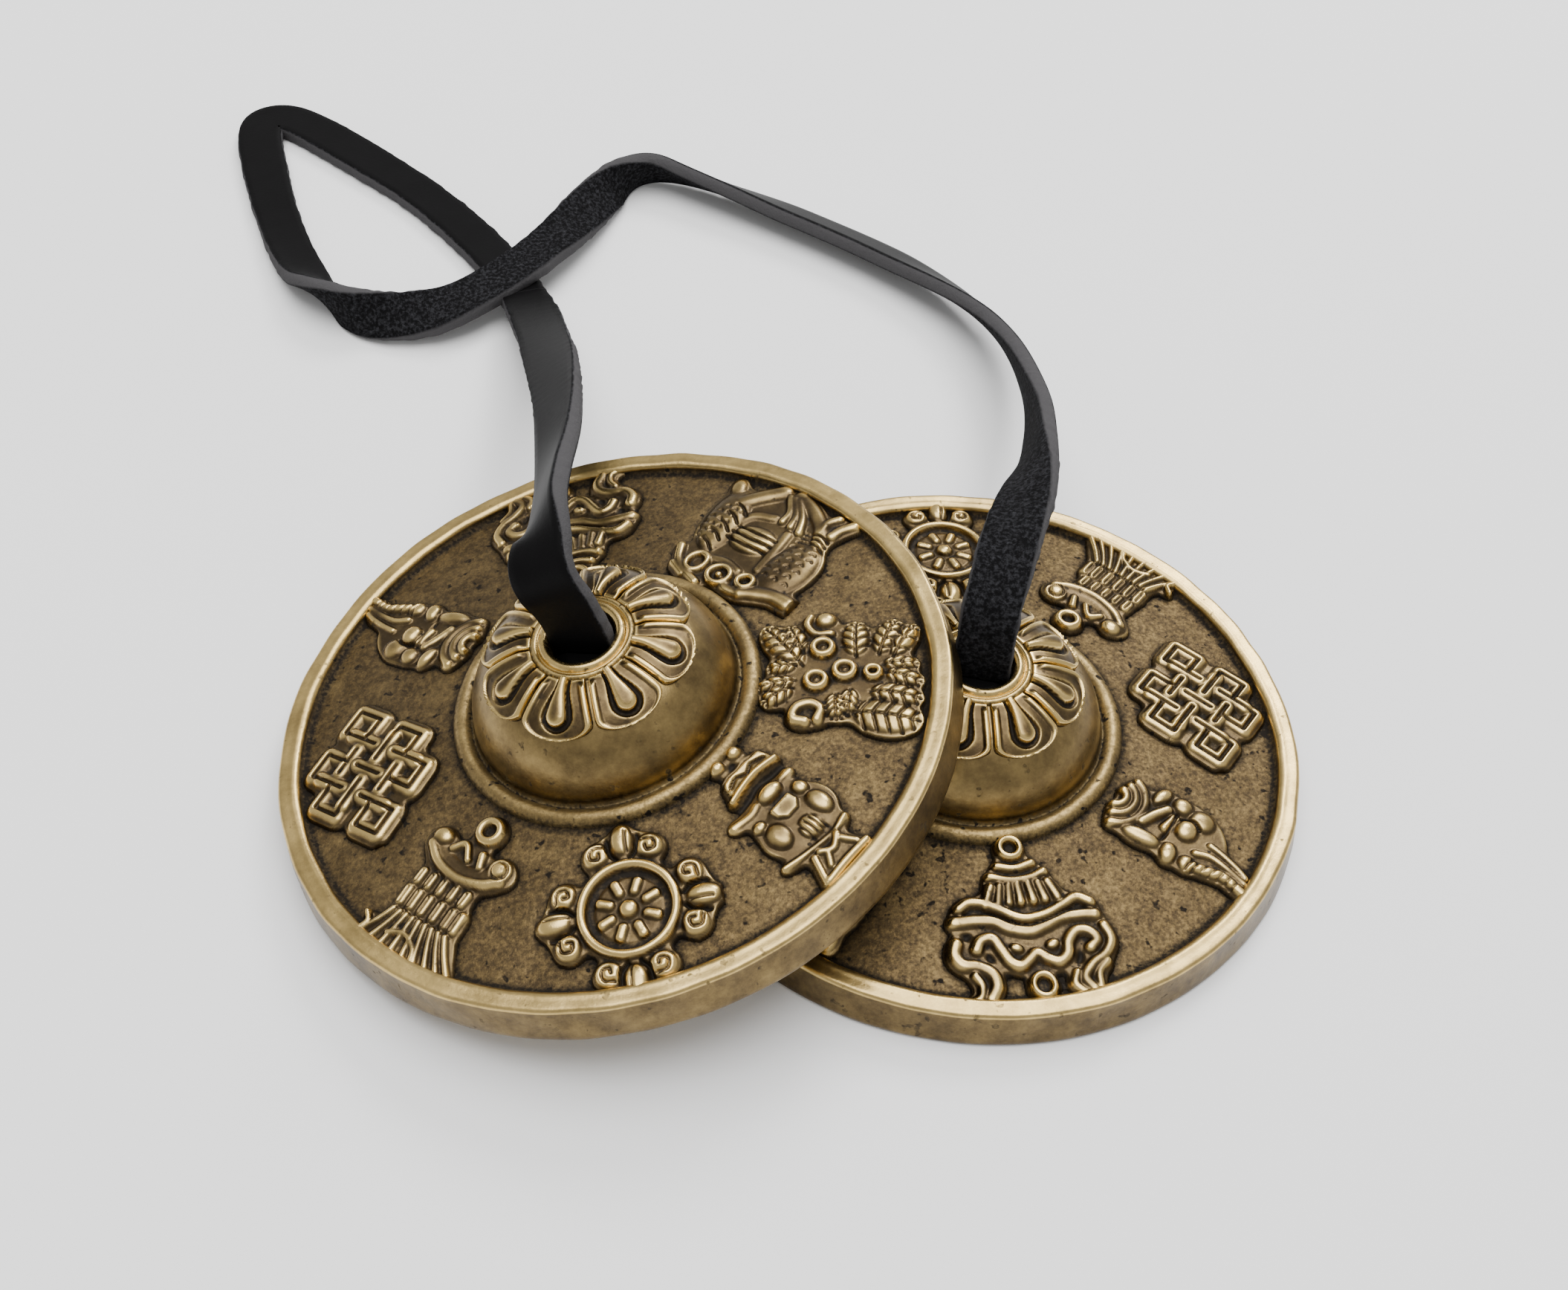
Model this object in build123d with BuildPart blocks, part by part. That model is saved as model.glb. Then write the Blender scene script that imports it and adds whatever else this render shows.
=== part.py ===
from build123d import *
from math import asin, atan2, cos, degrees, hypot, pi, radians, sin, sqrt, tan
import os

# A pair of small cast hand cymbals on one leather thong, in millimetres, +Z up.
# The lower cymbal lies flat. The upper one stands on its left edge and leans on the lower one's collar.
# The origin is on the surface they stand on, under the middle of the pair.

# Rim and plate
rim_radius = 35.0         # outer edge at the top of the side wall
rim_height = 4.5
edge_flare = 0.6          # how much wider the striking edge is than the rim
land_width = 4.6          # the flat ring that strikes and rests, in from the striking edge
bead_width = 2.5          # the raised rim bead, in from the rim to the plate
bead_crown_width = 1.3    # the bead's flat top
bead_round_width = 0.8    # from the flat top in to the middle of the bead's rounded flank
bead_round_drop = 0.25
rim_step = 1.1            # how far the plate's edge lies below the rim
plate_rise = 1.8          # the plate rises towards the dome
plate_wall = 2.9          # at the dome's foot
edge_round = 0.5
hollow_edge_height = 0.7  # the hollow's ceiling beside the land
land_step_width = 0.8     # the slope from the land up to it

# Dome, from the bead round its foot to the hole
dome_foot_radius = 13.6
dome_rise = 9.2           # from the plate's foot to the edge of the collar
dome_seat = 0.8           # the dome starts this far above the plate's foot
shoulder_in = 2.6         # the dome's shoulder, in from its foot and down from the collar's edge
shoulder_down = 2.7
foot_bead_gap = 0.4
foot_bead_width = 2.0
foot_bead_rise = 1.1
foot_bead_seat = 0.4      # how far above the plate's foot the bead starts on its inner side
hole_radius = 3.4
collar_width = 2.2
collar_rise = 0.8
dome_wall = 2.4
shoulder_wall_share = 0.8  # the wall at the shoulder, measured outwards, as a share of the dome's wall
hollow_foot_rise = 0.9    # from the underside of the plate's foot to where the dome's hollow starts
hole_wall_cut = 0.6       # how much thinner the wall is at the hole

# Cast relief: a collar of raised petals on the dome
petal_height = 0.35
petal_count = 8
petal_gap = 0.4           # from the collar's edge to the petals
petal_length = 4.6
petal_width = 3.0
petal_start = 25          # turn of the first petal from +X, in degrees
petal_skin_margin = 0.3   # the skin starts this far inside the petals
lower_turn = 175          # how far the lower cymbal's relief is turned from the upper one's

# Leather thong: a round tube with the section area of the flat strip
thong_diameter = 4.0
thong_lift = 0.1          # the tube's clearance from the surface it lies on
crossing_gap = 1.1        # clearance where the thong crosses itself
knot_radius = 5.0
knot_height_below = 3.4   # from the knot's middle to its flat underside
knot_gap = 0.3
straight_above_hole = 4.0  # the thong leaves each hole straight for this far
arc_share = 0.45          # the share of a run that the bend at its end may take
join_share = 0.4          # where the two runs meet, along the stretch that they share

# How the pair stands
edge_to_axis = 2.5        # the leaning edge stops this far short of the lower cymbal's axis
lean_gap = 0.15
first_lean = 0.2          # radians, where the search for the lean starts
lean_steps = 30

striking_radius = rim_radius + edge_flare
land_inner_radius = striking_radius - land_width
bead_inner_radius = rim_radius - bead_width
plate_edge_height = rim_height - rim_step
plate_foot_height = plate_edge_height + plate_rise
foot_bead_inner = dome_foot_radius + foot_bead_gap
foot_bead_outer = foot_bead_inner + foot_bead_width
dome_foot_height = plate_foot_height + dome_seat
collar_radius = hole_radius + collar_width
collar_height = plate_foot_height + dome_rise
dome_shoulder = (dome_foot_radius - shoulder_in, collar_height - shoulder_down)
hole_wall_bottom = collar_height - dome_wall + hole_wall_cut
petal_inner = collar_radius + petal_gap
petal_outer = petal_inner + petal_length
relief_top = collar_height + petal_height
thong_radius = thong_diameter / 2

# The lean: a line from the upper cymbal's foot, just clear of the round crest of the lower collar
crest_radius = (hole_radius + collar_radius) / 2
crest_round = (collar_radius - hole_radius) / 2
crest_centre = collar_height + collar_rise - crest_round
lean = first_lean
for step in range(lean_steps):
    foot_distance = 2 * striking_radius * cos(lean) + edge_to_axis
    reach = foot_distance - crest_radius
    lean = atan2(crest_centre, reach) + asin((crest_round + lean_gap) / hypot(reach, crest_centre))

pair_length = foot_distance + striking_radius
lower_axis_x = pair_length / 2 - striking_radius
upper_foot_x = -pair_length / 2
upper_base_x = upper_foot_x + striking_radius * cos(lean)
upper_base_z = striking_radius * sin(lean)

lower_seat = Plane(origin=(lower_axis_x, 0, 0), x_dir=(1, 0, 0), z_dir=(0, 0, 1))
upper_seat = Plane(origin=(upper_base_x, 0, upper_base_z), x_dir=(cos(lean), 0, sin(lean)),
                   z_dir=(-sin(lean), 0, cos(lean)))
print(f"lean {degrees(lean):.3f} degrees, lower axis x {lower_axis_x:.3f}, upper foot x {upper_foot_x:.3f}")
print(f"upper base x {upper_base_x:.3f} z {upper_base_z:.3f}")


def section(seat):
    """The half plane through a cymbal's axis: x is the radius and y the height."""
    return Plane(origin=seat.origin, x_dir=seat.x_dir, z_dir=-seat.y_dir)


def petal_skin_outline():
    """A closed skin over the dome, one petal height proud of the casting."""
    inner = petal_inner - petal_skin_margin
    Polyline((inner, dome_foot_height), (inner, relief_top), (petal_inner, relief_top))
    shoulder = (dome_shoulder[0] + petal_height, dome_shoulder[1] + petal_height)
    ThreePointArc((petal_inner, relief_top), shoulder, (dome_foot_radius + petal_height, dome_foot_height))
    Line((dome_foot_radius + petal_height, dome_foot_height), (inner, dome_foot_height))


def casting_outline():
    """One cymbal's wall: collar, dome, foot bead, plate, rim bead, side wall, land and hollow."""
    crest = (hole_radius + collar_radius) / 2
    ThreePointArc((hole_radius, collar_height), (crest, collar_height + collar_rise),
                  (collar_radius, collar_height))
    ThreePointArc((collar_radius, collar_height), dome_shoulder, (dome_foot_radius, dome_foot_height))
    bead_middle = (foot_bead_inner + foot_bead_outer) / 2
    bead_start = plate_foot_height + foot_bead_seat
    Line((dome_foot_radius, dome_foot_height), (foot_bead_inner, bead_start))
    ThreePointArc((foot_bead_inner, bead_start), (bead_middle, plate_foot_height + foot_bead_rise),
                  (foot_bead_outer, plate_foot_height))
    Line((foot_bead_outer, plate_foot_height), (bead_inner_radius, plate_edge_height))
    bead_top = rim_radius - bead_crown_width
    bead_flank = (bead_top - bead_round_width, rim_height - bead_round_drop)
    ThreePointArc((bead_inner_radius, plate_edge_height), bead_flank, (bead_top, rim_height))
    Polyline((bead_top, rim_height), (rim_radius - edge_round, rim_height),
             (rim_radius, rim_height - edge_round), (striking_radius, edge_round),
             (striking_radius - edge_round, 0), (land_inner_radius, 0))
    under_foot = plate_foot_height - plate_wall
    hollow_foot = (dome_foot_radius - dome_wall, under_foot + hollow_foot_rise)
    Polyline((land_inner_radius, 0), (land_inner_radius - land_step_width, hollow_edge_height),
             (foot_bead_inner, under_foot), hollow_foot)
    shoulder = (dome_shoulder[0] - dome_wall * shoulder_wall_share, dome_shoulder[1] - dome_wall)
    ThreePointArc(hollow_foot, shoulder, (hole_radius, hole_wall_bottom))
    Line((hole_radius, hole_wall_bottom), (hole_radius, collar_height))


os.makedirs("parts", exist_ok=True)

# Cymbals: the petals are cut from upright prisms by a thin skin over the dome, then joined to the casting.
# Each casting is made standing on its own striking edge and set down on its seat.
for cymbal_name, seat, turn in (("lower_cymbal", lower_seat, lower_turn), ("upper_cymbal", upper_seat, 0)):
    with BuildPart() as cymbal:
        with BuildSketch(Plane.XY):
            with PolarLocations((petal_inner + petal_outer) / 2, petal_count, start_angle=turn + petal_start):
                SlotOverall(petal_outer - petal_inner, petal_width)
        extrude(amount=relief_top)
        with BuildSketch(section(Plane.XY)):
            with BuildLine():
                petal_skin_outline()
            make_face()
        revolve(axis=Axis.Z, mode=Mode.INTERSECT)
        with BuildSketch(section(Plane.XY)):
            with BuildLine():
                casting_outline()
            make_face()
        revolve(axis=Axis.Z)
    casting = cymbal.part.clean().fix().moved(seat.location)
    casting.label = cymbal_name
    print(f"{cymbal_name} volume {casting.volume:.0f}, valid {casting.is_valid}")
    export_step(casting, f"parts/{cymbal_name}.step")

# Knots: a round lump under each hole, with a flat top that the thong's end meets
knot_centre = hole_wall_bottom - sqrt(knot_radius ** 2 - hole_radius ** 2) - knot_gap
knot_top = knot_centre + sqrt(knot_radius ** 2 - thong_radius ** 2)
knot_bottom = knot_centre - knot_height_below
knot_bottom_radius = sqrt(knot_radius ** 2 - knot_height_below ** 2)
print(f"knot from {knot_bottom:.2f} to {knot_top:.2f}")
for knot_name, seat in (("lower_knot", lower_seat), ("upper_knot", upper_seat)):
    with BuildPart() as knot:
        with BuildSketch(section(seat)):
            with BuildLine():
                Polyline((thong_radius, knot_top), (0, knot_top), (0, knot_bottom),
                         (knot_bottom_radius, knot_bottom))
                ThreePointArc((knot_bottom_radius, knot_bottom), (knot_radius, knot_centre),
                              (thong_radius, knot_top))
            make_face()
        revolve(axis=Axis(seat.origin, seat.z_dir))
    knot.part.label = knot_name
    export_step(knot.part, f"parts/{knot_name}.step")

# Thong: the short run that rises from the upper hole, and the long run that lies in a loop behind the
# pair, crosses the first and drops into the lower hole. They meet in the air, on one straight stretch.
lying = thong_radius + thong_lift
crossing = lying + thong_diameter + crossing_gap
straight_top = collar_height + straight_above_hole
upper_hole = upper_seat.from_local_coords((0, 0, collar_height))
lower_hole = Vector(lower_axis_x, 0, collar_height)
falling = upper_hole + Vector(0.75, 40.0, -3.36)
landing = Vector(-23.4, 70.0, lying + 1.3)
run_join = falling + (landing - falling) * join_share
upper_route = [
    upper_seat.from_local_coords((0, 0, knot_top)), upper_seat.from_local_coords((0, 0, straight_top)),
    upper_hole + Vector(-3.15, 0.6, 11.0), upper_hole + Vector(-0.55, 7.6, 14.0),
    upper_hole + Vector(0.65, 22.0, 7.64), falling, run_join,
]
long_route = [run_join, landing] + [Vector(point) for point in (
    (-28.6, 85.5, lying), (-38.2, 103.0, lying), (-49.0, 116.4, lying), (-55.2, 122.6, lying),
    (-59.0, 125.6, lying), (-63.2, 125.3, lying), (-65.6, 121.9, lying), (-64.9, 115.1, lying),
    (-61.4, 103.4, lying), (-57.0, 91.5, lying), (-51.2, 82.0, lying), (-42.4, 77.0, lying + 0.5),
    (-33.0, 76.2, crossing - 0.4), (-23.6, 87.2, crossing), (-17.4, 98.8, lying + 0.3),
    (-13.0, 106.4, lying), (-9.1, 108.5, lying), (-4.7, 108.1, lying), (8.8, 97.6, lying),
    (21.8, 84.6, lying), (30.6, 71.6, lying + 1.1), (34.0, 55.0, lying + 6.1),
)] + [
    lower_hole + Vector(13.6, 35.5, 1.6), lower_hole + Vector(9.2, 20.0, 8.8),
    lower_hole + Vector(4.8, 9.4, 13.0), lower_hole + Vector(1.0, 2.0, 10.2),
    Vector(lower_axis_x, 0, straight_top), Vector(lower_axis_x, 0, knot_top),
]


def corner_radii(route):
    """Each bend's radius: its share of the shorter run over the tangent of half the turn."""
    radii = []
    for before, corner, after in zip(route, route[1:], route[2:]):
        run_in = corner - before
        run_out = after - corner
        half_turn = radians(run_in.get_angle(run_out)) / 2
        radii.append(arc_share * min(run_in.length, run_out.length) / tan(half_turn))
    return radii


for run_name, route in (("thong_short_run", upper_route), ("thong_long_run", long_route)):
    radii = corner_radii(route)
    print(run_name, "radii", [round(radius, 1) for radius in radii])
    with BuildPart() as run:
        with BuildLine() as path:
            FilletPolyline(*route, radius=radii)
        with BuildSketch(Plane(origin=route[0], z_dir=route[1] - route[0])):
            Circle(thong_radius)
        sweep(path=path.wire(), transition=Transition.ROUND)
    length = path.wire().length
    section_area = pi * thong_radius ** 2
    print(f"{run_name} length {length:.1f}, volume {run.part.volume:.1f} against {section_area * length:.1f}")
    run.part.label = run_name
    export_step(run.part, f"parts/{run_name}.step")
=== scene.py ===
import math

import bpy
import numpy as np
from mathutils import Matrix, Vector


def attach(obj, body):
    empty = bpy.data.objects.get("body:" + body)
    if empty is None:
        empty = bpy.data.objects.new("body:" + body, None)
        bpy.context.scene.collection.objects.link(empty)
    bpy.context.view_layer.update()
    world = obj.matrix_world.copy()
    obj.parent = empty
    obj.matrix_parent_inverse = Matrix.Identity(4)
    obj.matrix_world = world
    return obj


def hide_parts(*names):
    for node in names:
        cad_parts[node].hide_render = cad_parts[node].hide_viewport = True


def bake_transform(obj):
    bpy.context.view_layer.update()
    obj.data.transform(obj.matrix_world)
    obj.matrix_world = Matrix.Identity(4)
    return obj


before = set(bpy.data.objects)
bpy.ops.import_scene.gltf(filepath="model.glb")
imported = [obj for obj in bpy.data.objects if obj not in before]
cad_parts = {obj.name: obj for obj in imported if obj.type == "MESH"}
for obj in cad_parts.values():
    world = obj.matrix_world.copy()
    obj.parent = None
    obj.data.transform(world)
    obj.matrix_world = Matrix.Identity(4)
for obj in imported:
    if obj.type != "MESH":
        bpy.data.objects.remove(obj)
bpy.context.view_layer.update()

bl_info = {
    "name": "Hand cymbals on a thong",
    "version": (1, 0, 0),
    "blender": (4, 5, 0),
    "location": "3D View > Sidebar > Cymbals",
    "description": "Builds a pair of cast hand cymbals with relief, their leather thong and a plain studio",
    "category": "Object",
}

MM = 0.001
LEAN = math.radians(12.853)
LOWER_TURN = 175.0
LOWER_SEAT = Matrix.Translation((18.158 * MM, 0, 0)) @ Matrix.Rotation(math.radians(LOWER_TURN), 4, "Z")
UPPER_SEAT = Matrix.Translation((-19.050 * MM, 0, 7.919 * MM)) @ Matrix.Rotation(-LEAN, 4, "Y")
SEATS = {"lower_cymbal": LOWER_SEAT, "upper_cymbal": UPPER_SEAT}
CAMERA_PLACE = Vector((-20.34, -115.86, 155.84)) * MM
CAMERA_AZIMUTH = math.radians(8.78)
CAMERA_DOWN = math.radians(49.34)
CAMERA_ROLL = math.radians(3.58)
CAMERA_LENS = 36.0 * 2436 / 2110

# A cymbal's own sizes in millimetres, from its striking edge up and out from its axis
HOLE_RADIUS, RING_TOP, RING_OUTER = 3.4, 14.5, 5.2
DOME = ((5.2, 14.35), (11.0, 11.7), (13.6, 6.0))
PLATE_INNER, PLATE_OUTER = (16.0, 5.2), (32.0, 3.454)
PLATE_FALL = 1.8 / 16.5
RIM_TOP, RIM_STEP = 4.5, 32.35
DOME_FOOT, PLATE_START = 13.95, 16.15
AROUND = 480
RIPPLES = 14

# Emblems: half the side of a map, how deep they sit in the plate, and how large they are drawn
EMBLEM_REACH = 9.1
EMBLEM_SINK = 0.25
EMBLEM_CELLS = 146
EMBLEM_NEAREST, EMBLEM_FURTHEST = 14.2, 34.4
DRAW_SCALE = 1.08
STROKE_SCALE = 1.3

PETALS = 8
PETAL_START = math.radians(25.0)
PETAL_CELLS = (66, 88)
PETAL_LENGTH, LOBE_END, TONGUE_END = 7.2, 6.0, 4.75

# Thong: where its two pieces meet along Y, the spacing of its sections, and the rounding of its edges
THONG_JOIN = 76.0
SECTION_GAP = 0.35
STRIP_CORNER = 0.35
FACE_POINTS, EDGE_POINTS = 9, 4
SMOOTH_FACE, SUEDE_FACE, CUT_EDGE = 0.0, 1.0, 2.0
SURFACE_GAP = 0.03


# ---------------------------------------------------------------- shared helpers

def new_mesh(name, verts, faces, smooth=True):
    """A mesh object in metres from points in millimetres, linked to the scene."""
    mesh = bpy.data.meshes.new(name)
    mesh.from_pydata((np.asarray(verts, float) * MM).tolist(), [], faces)
    mesh.validate()
    mesh.polygons.foreach_set("use_smooth", [smooth] * len(mesh.polygons))
    mesh.update()
    obj = bpy.data.objects.new(name, mesh)
    bpy.context.scene.collection.objects.link(obj)
    return obj


def put_attribute(obj, name, values):
    """One float for each vertex, for a material to read."""
    attribute = obj.data.attributes.new(name, "FLOAT", "POINT")
    attribute.data.foreach_set("value", np.asarray(values, np.float32))


def to_seat(points, seat):
    """Points of a cymbal standing on its own edge, in millimetres, moved to its place in the pair."""
    turn = np.array(seat.to_3x3())
    return points @ turn.T + np.array(seat.translation) / MM


def arc(start, middle, end, count):
    """Points on the circle through three points, without the last one."""
    (ax, ay), (bx, by), (cx, cy) = start, middle, end
    d = 2 * (ax * (by - cy) + bx * (cy - ay) + cx * (ay - by))
    aa, bb, cc = ax**2 + ay**2, bx**2 + by**2, cx**2 + cy**2
    ux = (aa * (by - cy) + bb * (cy - ay) + cc * (ay - by)) / d
    uy = (aa * (cx - bx) + bb * (ax - cx) + cc * (bx - ax)) / d
    a0 = math.atan2(ay - uy, ax - ux)
    am = (math.atan2(by - uy, bx - ux) - a0) % math.tau
    a1 = (math.atan2(cy - uy, cx - ux) - a0) % math.tau
    if am > a1:
        a1 -= math.tau
    radius = math.hypot(ax - ux, ay - uy)
    angles = a0 + a1 * np.arange(count) / count
    return np.stack([ux + radius * np.cos(angles), uy + radius * np.sin(angles)], 1)


def line(start, end, count):
    """Points on a straight line, without the last one."""
    t = (np.arange(count) / count)[:, None]
    return np.array(start) * (1 - t) + np.array(end) * t


def smoothstep(low, high, value):
    """0 below low, 1 above high and an eased rise between them."""
    t = np.clip((value - low) / (high - low), 0, 1)
    return t * t * (3 - 2 * t)


def blur(grid, sigma):
    """A Gaussian blur of a square grid, sigma in cells."""
    reach = int(math.ceil(sigma * 3))
    weights = np.exp(-0.5 * (np.arange(-reach, reach + 1) / sigma) ** 2)
    weights /= weights.sum()
    for axis in (0, 1):
        padded = np.pad(grid, [(reach, reach) if a == axis else (0, 0) for a in (0, 1)], mode="edge")
        grid = sum(w * np.take(padded, range(k, k + grid.shape[axis]), axis) for k, w in enumerate(weights))
    return grid


def plate_height(radius):
    """The height of the plate's plain top at a distance from the axis."""
    return PLATE_INNER[1] - (radius - PLATE_INNER[0]) * PLATE_FALL


# ---------------------------------------------------------------- emblems

class Relief:
    """A height map in millimetres on a square grid, x to the right and y towards the dome."""

    def __init__(self):
        side = np.linspace(-EMBLEM_REACH, EMBLEM_REACH, EMBLEM_CELLS)
        self.x, self.y = np.meshgrid(side / DRAW_SCALE, side / DRAW_SCALE, indexing="ij")
        self.step = side[1] - side[0]
        self.height = np.zeros_like(self.x)
        self.cut = np.zeros_like(self.x)

    def distance(self, points, curved):
        """The distance to a line through points, rounded by a spline when curved."""
        pts = np.array(points, float).reshape(-1, 2)
        if curved and len(pts) > 2:
            ends = np.vstack([2 * pts[0] - pts[1], pts, 2 * pts[-1] - pts[-2]])
            steps = np.linspace(0, 1, 6, endpoint=False)[:, None]
            runs = []
            for p0, p1, p2, p3 in zip(ends, ends[1:], ends[2:], ends[3:]):
                runs.append(0.5 * (2 * p1 + (p2 - p0) * steps + (2 * p0 - 5 * p1 + 4 * p2 - p3) * steps**2
                                   + (3 * p1 - p0 - 3 * p2 + p3) * steps**3))
            pts = np.vstack(runs + [pts[-1:]])
        best = np.full(self.x.shape, 1e9)
        for (ax, ay), (bx, by) in zip(pts, pts[1:]):
            dx, dy = bx - ax, by - ay
            t = np.clip(((self.x - ax) * dx + (self.y - ay) * dy) / (dx * dx + dy * dy + 1e-9), 0, 1)
            best = np.minimum(best, (self.x - ax - t * dx) ** 2 + (self.y - ay - t * dy) ** 2)
        return np.sqrt(best)

    def raise_to(self, amount):
        """Lifts the map where it is lower than this."""
        self.height = np.maximum(self.height, amount)

    def bead(self, width, height, *points, curved=True):
        """A rounded ridge of that half width along points given as x, y, x, y."""
        q = self.distance(points, curved) / (width * STROKE_SCALE)
        self.raise_to(height * np.sqrt(np.clip(1 - q**2.4, 0, 1)))

    def pad(self, cx, cy, rx, ry, height, turn=0):
        """A domed oval."""
        c, s = math.cos(math.radians(turn)), math.sin(math.radians(turn))
        dx, dy = self.x - cx, self.y - cy
        q = np.sqrt(((dx * c + dy * s) / rx) ** 2 + ((dy * c - dx * s) / ry) ** 2)
        self.raise_to(height * np.sqrt(np.clip(1 - q**2.6, 0, 1)))

    def ring(self, cx, cy, radius, width, height, squeeze=1.0):
        """A rounded ridge round a circle."""
        q = np.abs(np.hypot(self.x - cx, (self.y - cy) / squeeze) - radius) / width
        self.raise_to(height * np.sqrt(np.clip(1 - q**2.4, 0, 1)))

    def slab(self, height, *points):
        """A flat polygon with eased edges."""
        pts = np.array(points, float).reshape(-1, 2)
        inside = np.zeros(self.x.shape, bool)
        for (ax, ay), (bx, by) in zip(pts, np.roll(pts, -1, 0)):
            crosses = (ay > self.y) != (by > self.y)
            inside ^= crosses & (self.x < (bx - ax) * (self.y - ay) / (by - ay + 1e-12) + ax)
        edge = self.distance(np.vstack([pts, pts[:1]]).ravel(), False)
        self.raise_to(np.where(inside, height * smoothstep(0, 0.35, edge), 0))

    def groove(self, width, depth, *points, curved=True):
        """A rounded cut along points."""
        q = self.distance(points, curved) / width
        self.cut = np.maximum(self.cut, depth * np.clip(1 - q**2, 0, 1))

    def ring_groove(self, cx, cy, radius, width, depth):
        """A rounded cut round a circle."""
        q = np.abs(np.hypot(self.x - cx, self.y - cy) - radius) / width
        self.cut = np.maximum(self.cut, depth * np.clip(1 - q**2, 0, 1))

    def finish(self):
        """The height above the plate, its cavity from 0 to 1 and how far each point is from the emblem."""
        drawn = (self.height > 0.12).astype(float)
        skirt = blur(drawn, 0.45 / self.step)
        base = 0.5 * smoothstep(0.12, 0.42, skirt)
        shape = np.maximum(self.height, base) - np.minimum(self.cut, np.maximum(self.height - 0.1, 0))
        shape = blur(shape, 0.07 / self.step)
        near = blur(shape, 0.5 / self.step)
        cavity = smoothstep(0.02, 0.34, near - shape) + smoothstep(0.55, 0.12, shape) * 0.7
        crest = smoothstep(0.0, 0.3, shape - near)
        return shape, np.clip(cavity, 0, 1), np.clip(crest, 0, 1), skirt


def draw_wheel(r):
    cx, cy = 0.2, -0.4
    r.pad(cx, cy, 3.9, 3.9, 0.35)
    r.ring(cx, cy, 4.2, 0.55, 1.25)
    for k in range(8):
        a = math.radians(22.5 + 45 * k)
        r.bead(0.48, 0.95, cx + 1.75 * math.cos(a), cy + 1.75 * math.sin(a),
               cx + 2.65 * math.cos(a), cy + 2.65 * math.sin(a))
    r.pad(cx, cy, 1.0, 1.0, 1.25)
    for turn in (90, 0, -90, 180):
        c, s = math.cos(math.radians(turn)), math.sin(math.radians(turn))

        def at(*flat):
            out = []
            for along, across in zip(flat[::2], flat[1::2]):
                out += [cx + along * c - across * s, cy + along * s + across * c]
            return out

        r.pad(*at(5.6, 0), 1.9, 3.0, 0.7, turn)
        r.pad(*at(5.55, -2.35), 1.35, 1.4, 1.2, turn)
        r.pad(*at(5.55, 2.35), 1.35, 1.4, 1.2, turn)
        r.pad(*at(6.6, 0), 1.75, 1.15, 1.25, turn)
        for across in (-1.2, 1.2):
            r.groove(0.2, 0.8, *at(4.9, across * 0.5, 5.6, across, 7.0, across * 1.15))
        for across in (-2.3, 2.3):
            r.groove(0.17, 0.5, *at(6.3, across * 0.8, 6.1, across * 1.2, 5.3, across * 1.25,
                                    5.1, across * 0.95, 5.6, across * 0.9))
        r.groove(0.13, 0.4, *at(5.4, -0.35, 7.4, -0.4))
    r.ring_groove(cx, cy, 3.35, 0.34, 0.3)


def draw_banner(r):
    r.ring(0.2, 5.5, 1.0, 0.55, 1.2)
    r.bead(1.0, 0.85, -3.9, 2.7, -2.4, 1.5, 0.1, 0.95, 2.4, 1.6, 3.8, 2.6)
    r.bead(0.5, 1.15, -4.1, 2.2, -2.4, 1.0, 0.2, 0.45, 2.7, 1.0, 4.1, 2.0)
    r.pad(-3.6, 3.1, 1.25, 1.1, 1.25)
    r.pad(3.5, 2.8, 1.35, 1.3, 1.3)
    r.ring_groove(3.5, 2.8, 0.8, 0.16, 0.4)
    r.bead(0.34, 1.1, -2.0, 2.6, -1.0, 3.5, 0.1, 2.3)
    r.bead(0.42, 1.1, 1.1, 3.3, 1.6, 2.2)
    for x in (-3.0, -1.75, -0.4, 0.95, 2.3):
        r.bead(0.46, 1.0, x, -0.4, x, -1.35)
        r.groove(0.12, 0.45, x - 0.1, -0.3, x - 0.15, -1.5)
    for x in (-3.2, -2.0, -0.7, 0.7, 2.1, 3.1):
        r.bead(0.5, 0.95, x, -2.3, x + 0.05, -3.7)
        r.groove(0.12, 0.45, x - 0.15, -2.2, x - 0.1, -3.8)
    r.slab(0.6, -3.7, -4.1, 3.7, -4.1, 5.2, -6.2, 6.4, -8.0, -5.4, -8.0, -4.2, -6.0)
    for k in range(9):
        t = k / 8
        r.bead(0.33, 1.05, -3.2 + 6.2 * t, -4.5, -3.8 + 7.9 * t, -5.9, -4.9 + 10.9 * t, -7.8)
    r.bead(0.3, 1.15, -5.3, -5.9, -4.6, -6.6, -5.0, -7.6)
    r.bead(0.3, 1.1, -2.2, -6.6, -0.6, -6.0, 1.0, -6.7, 1.6, -7.8)


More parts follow.
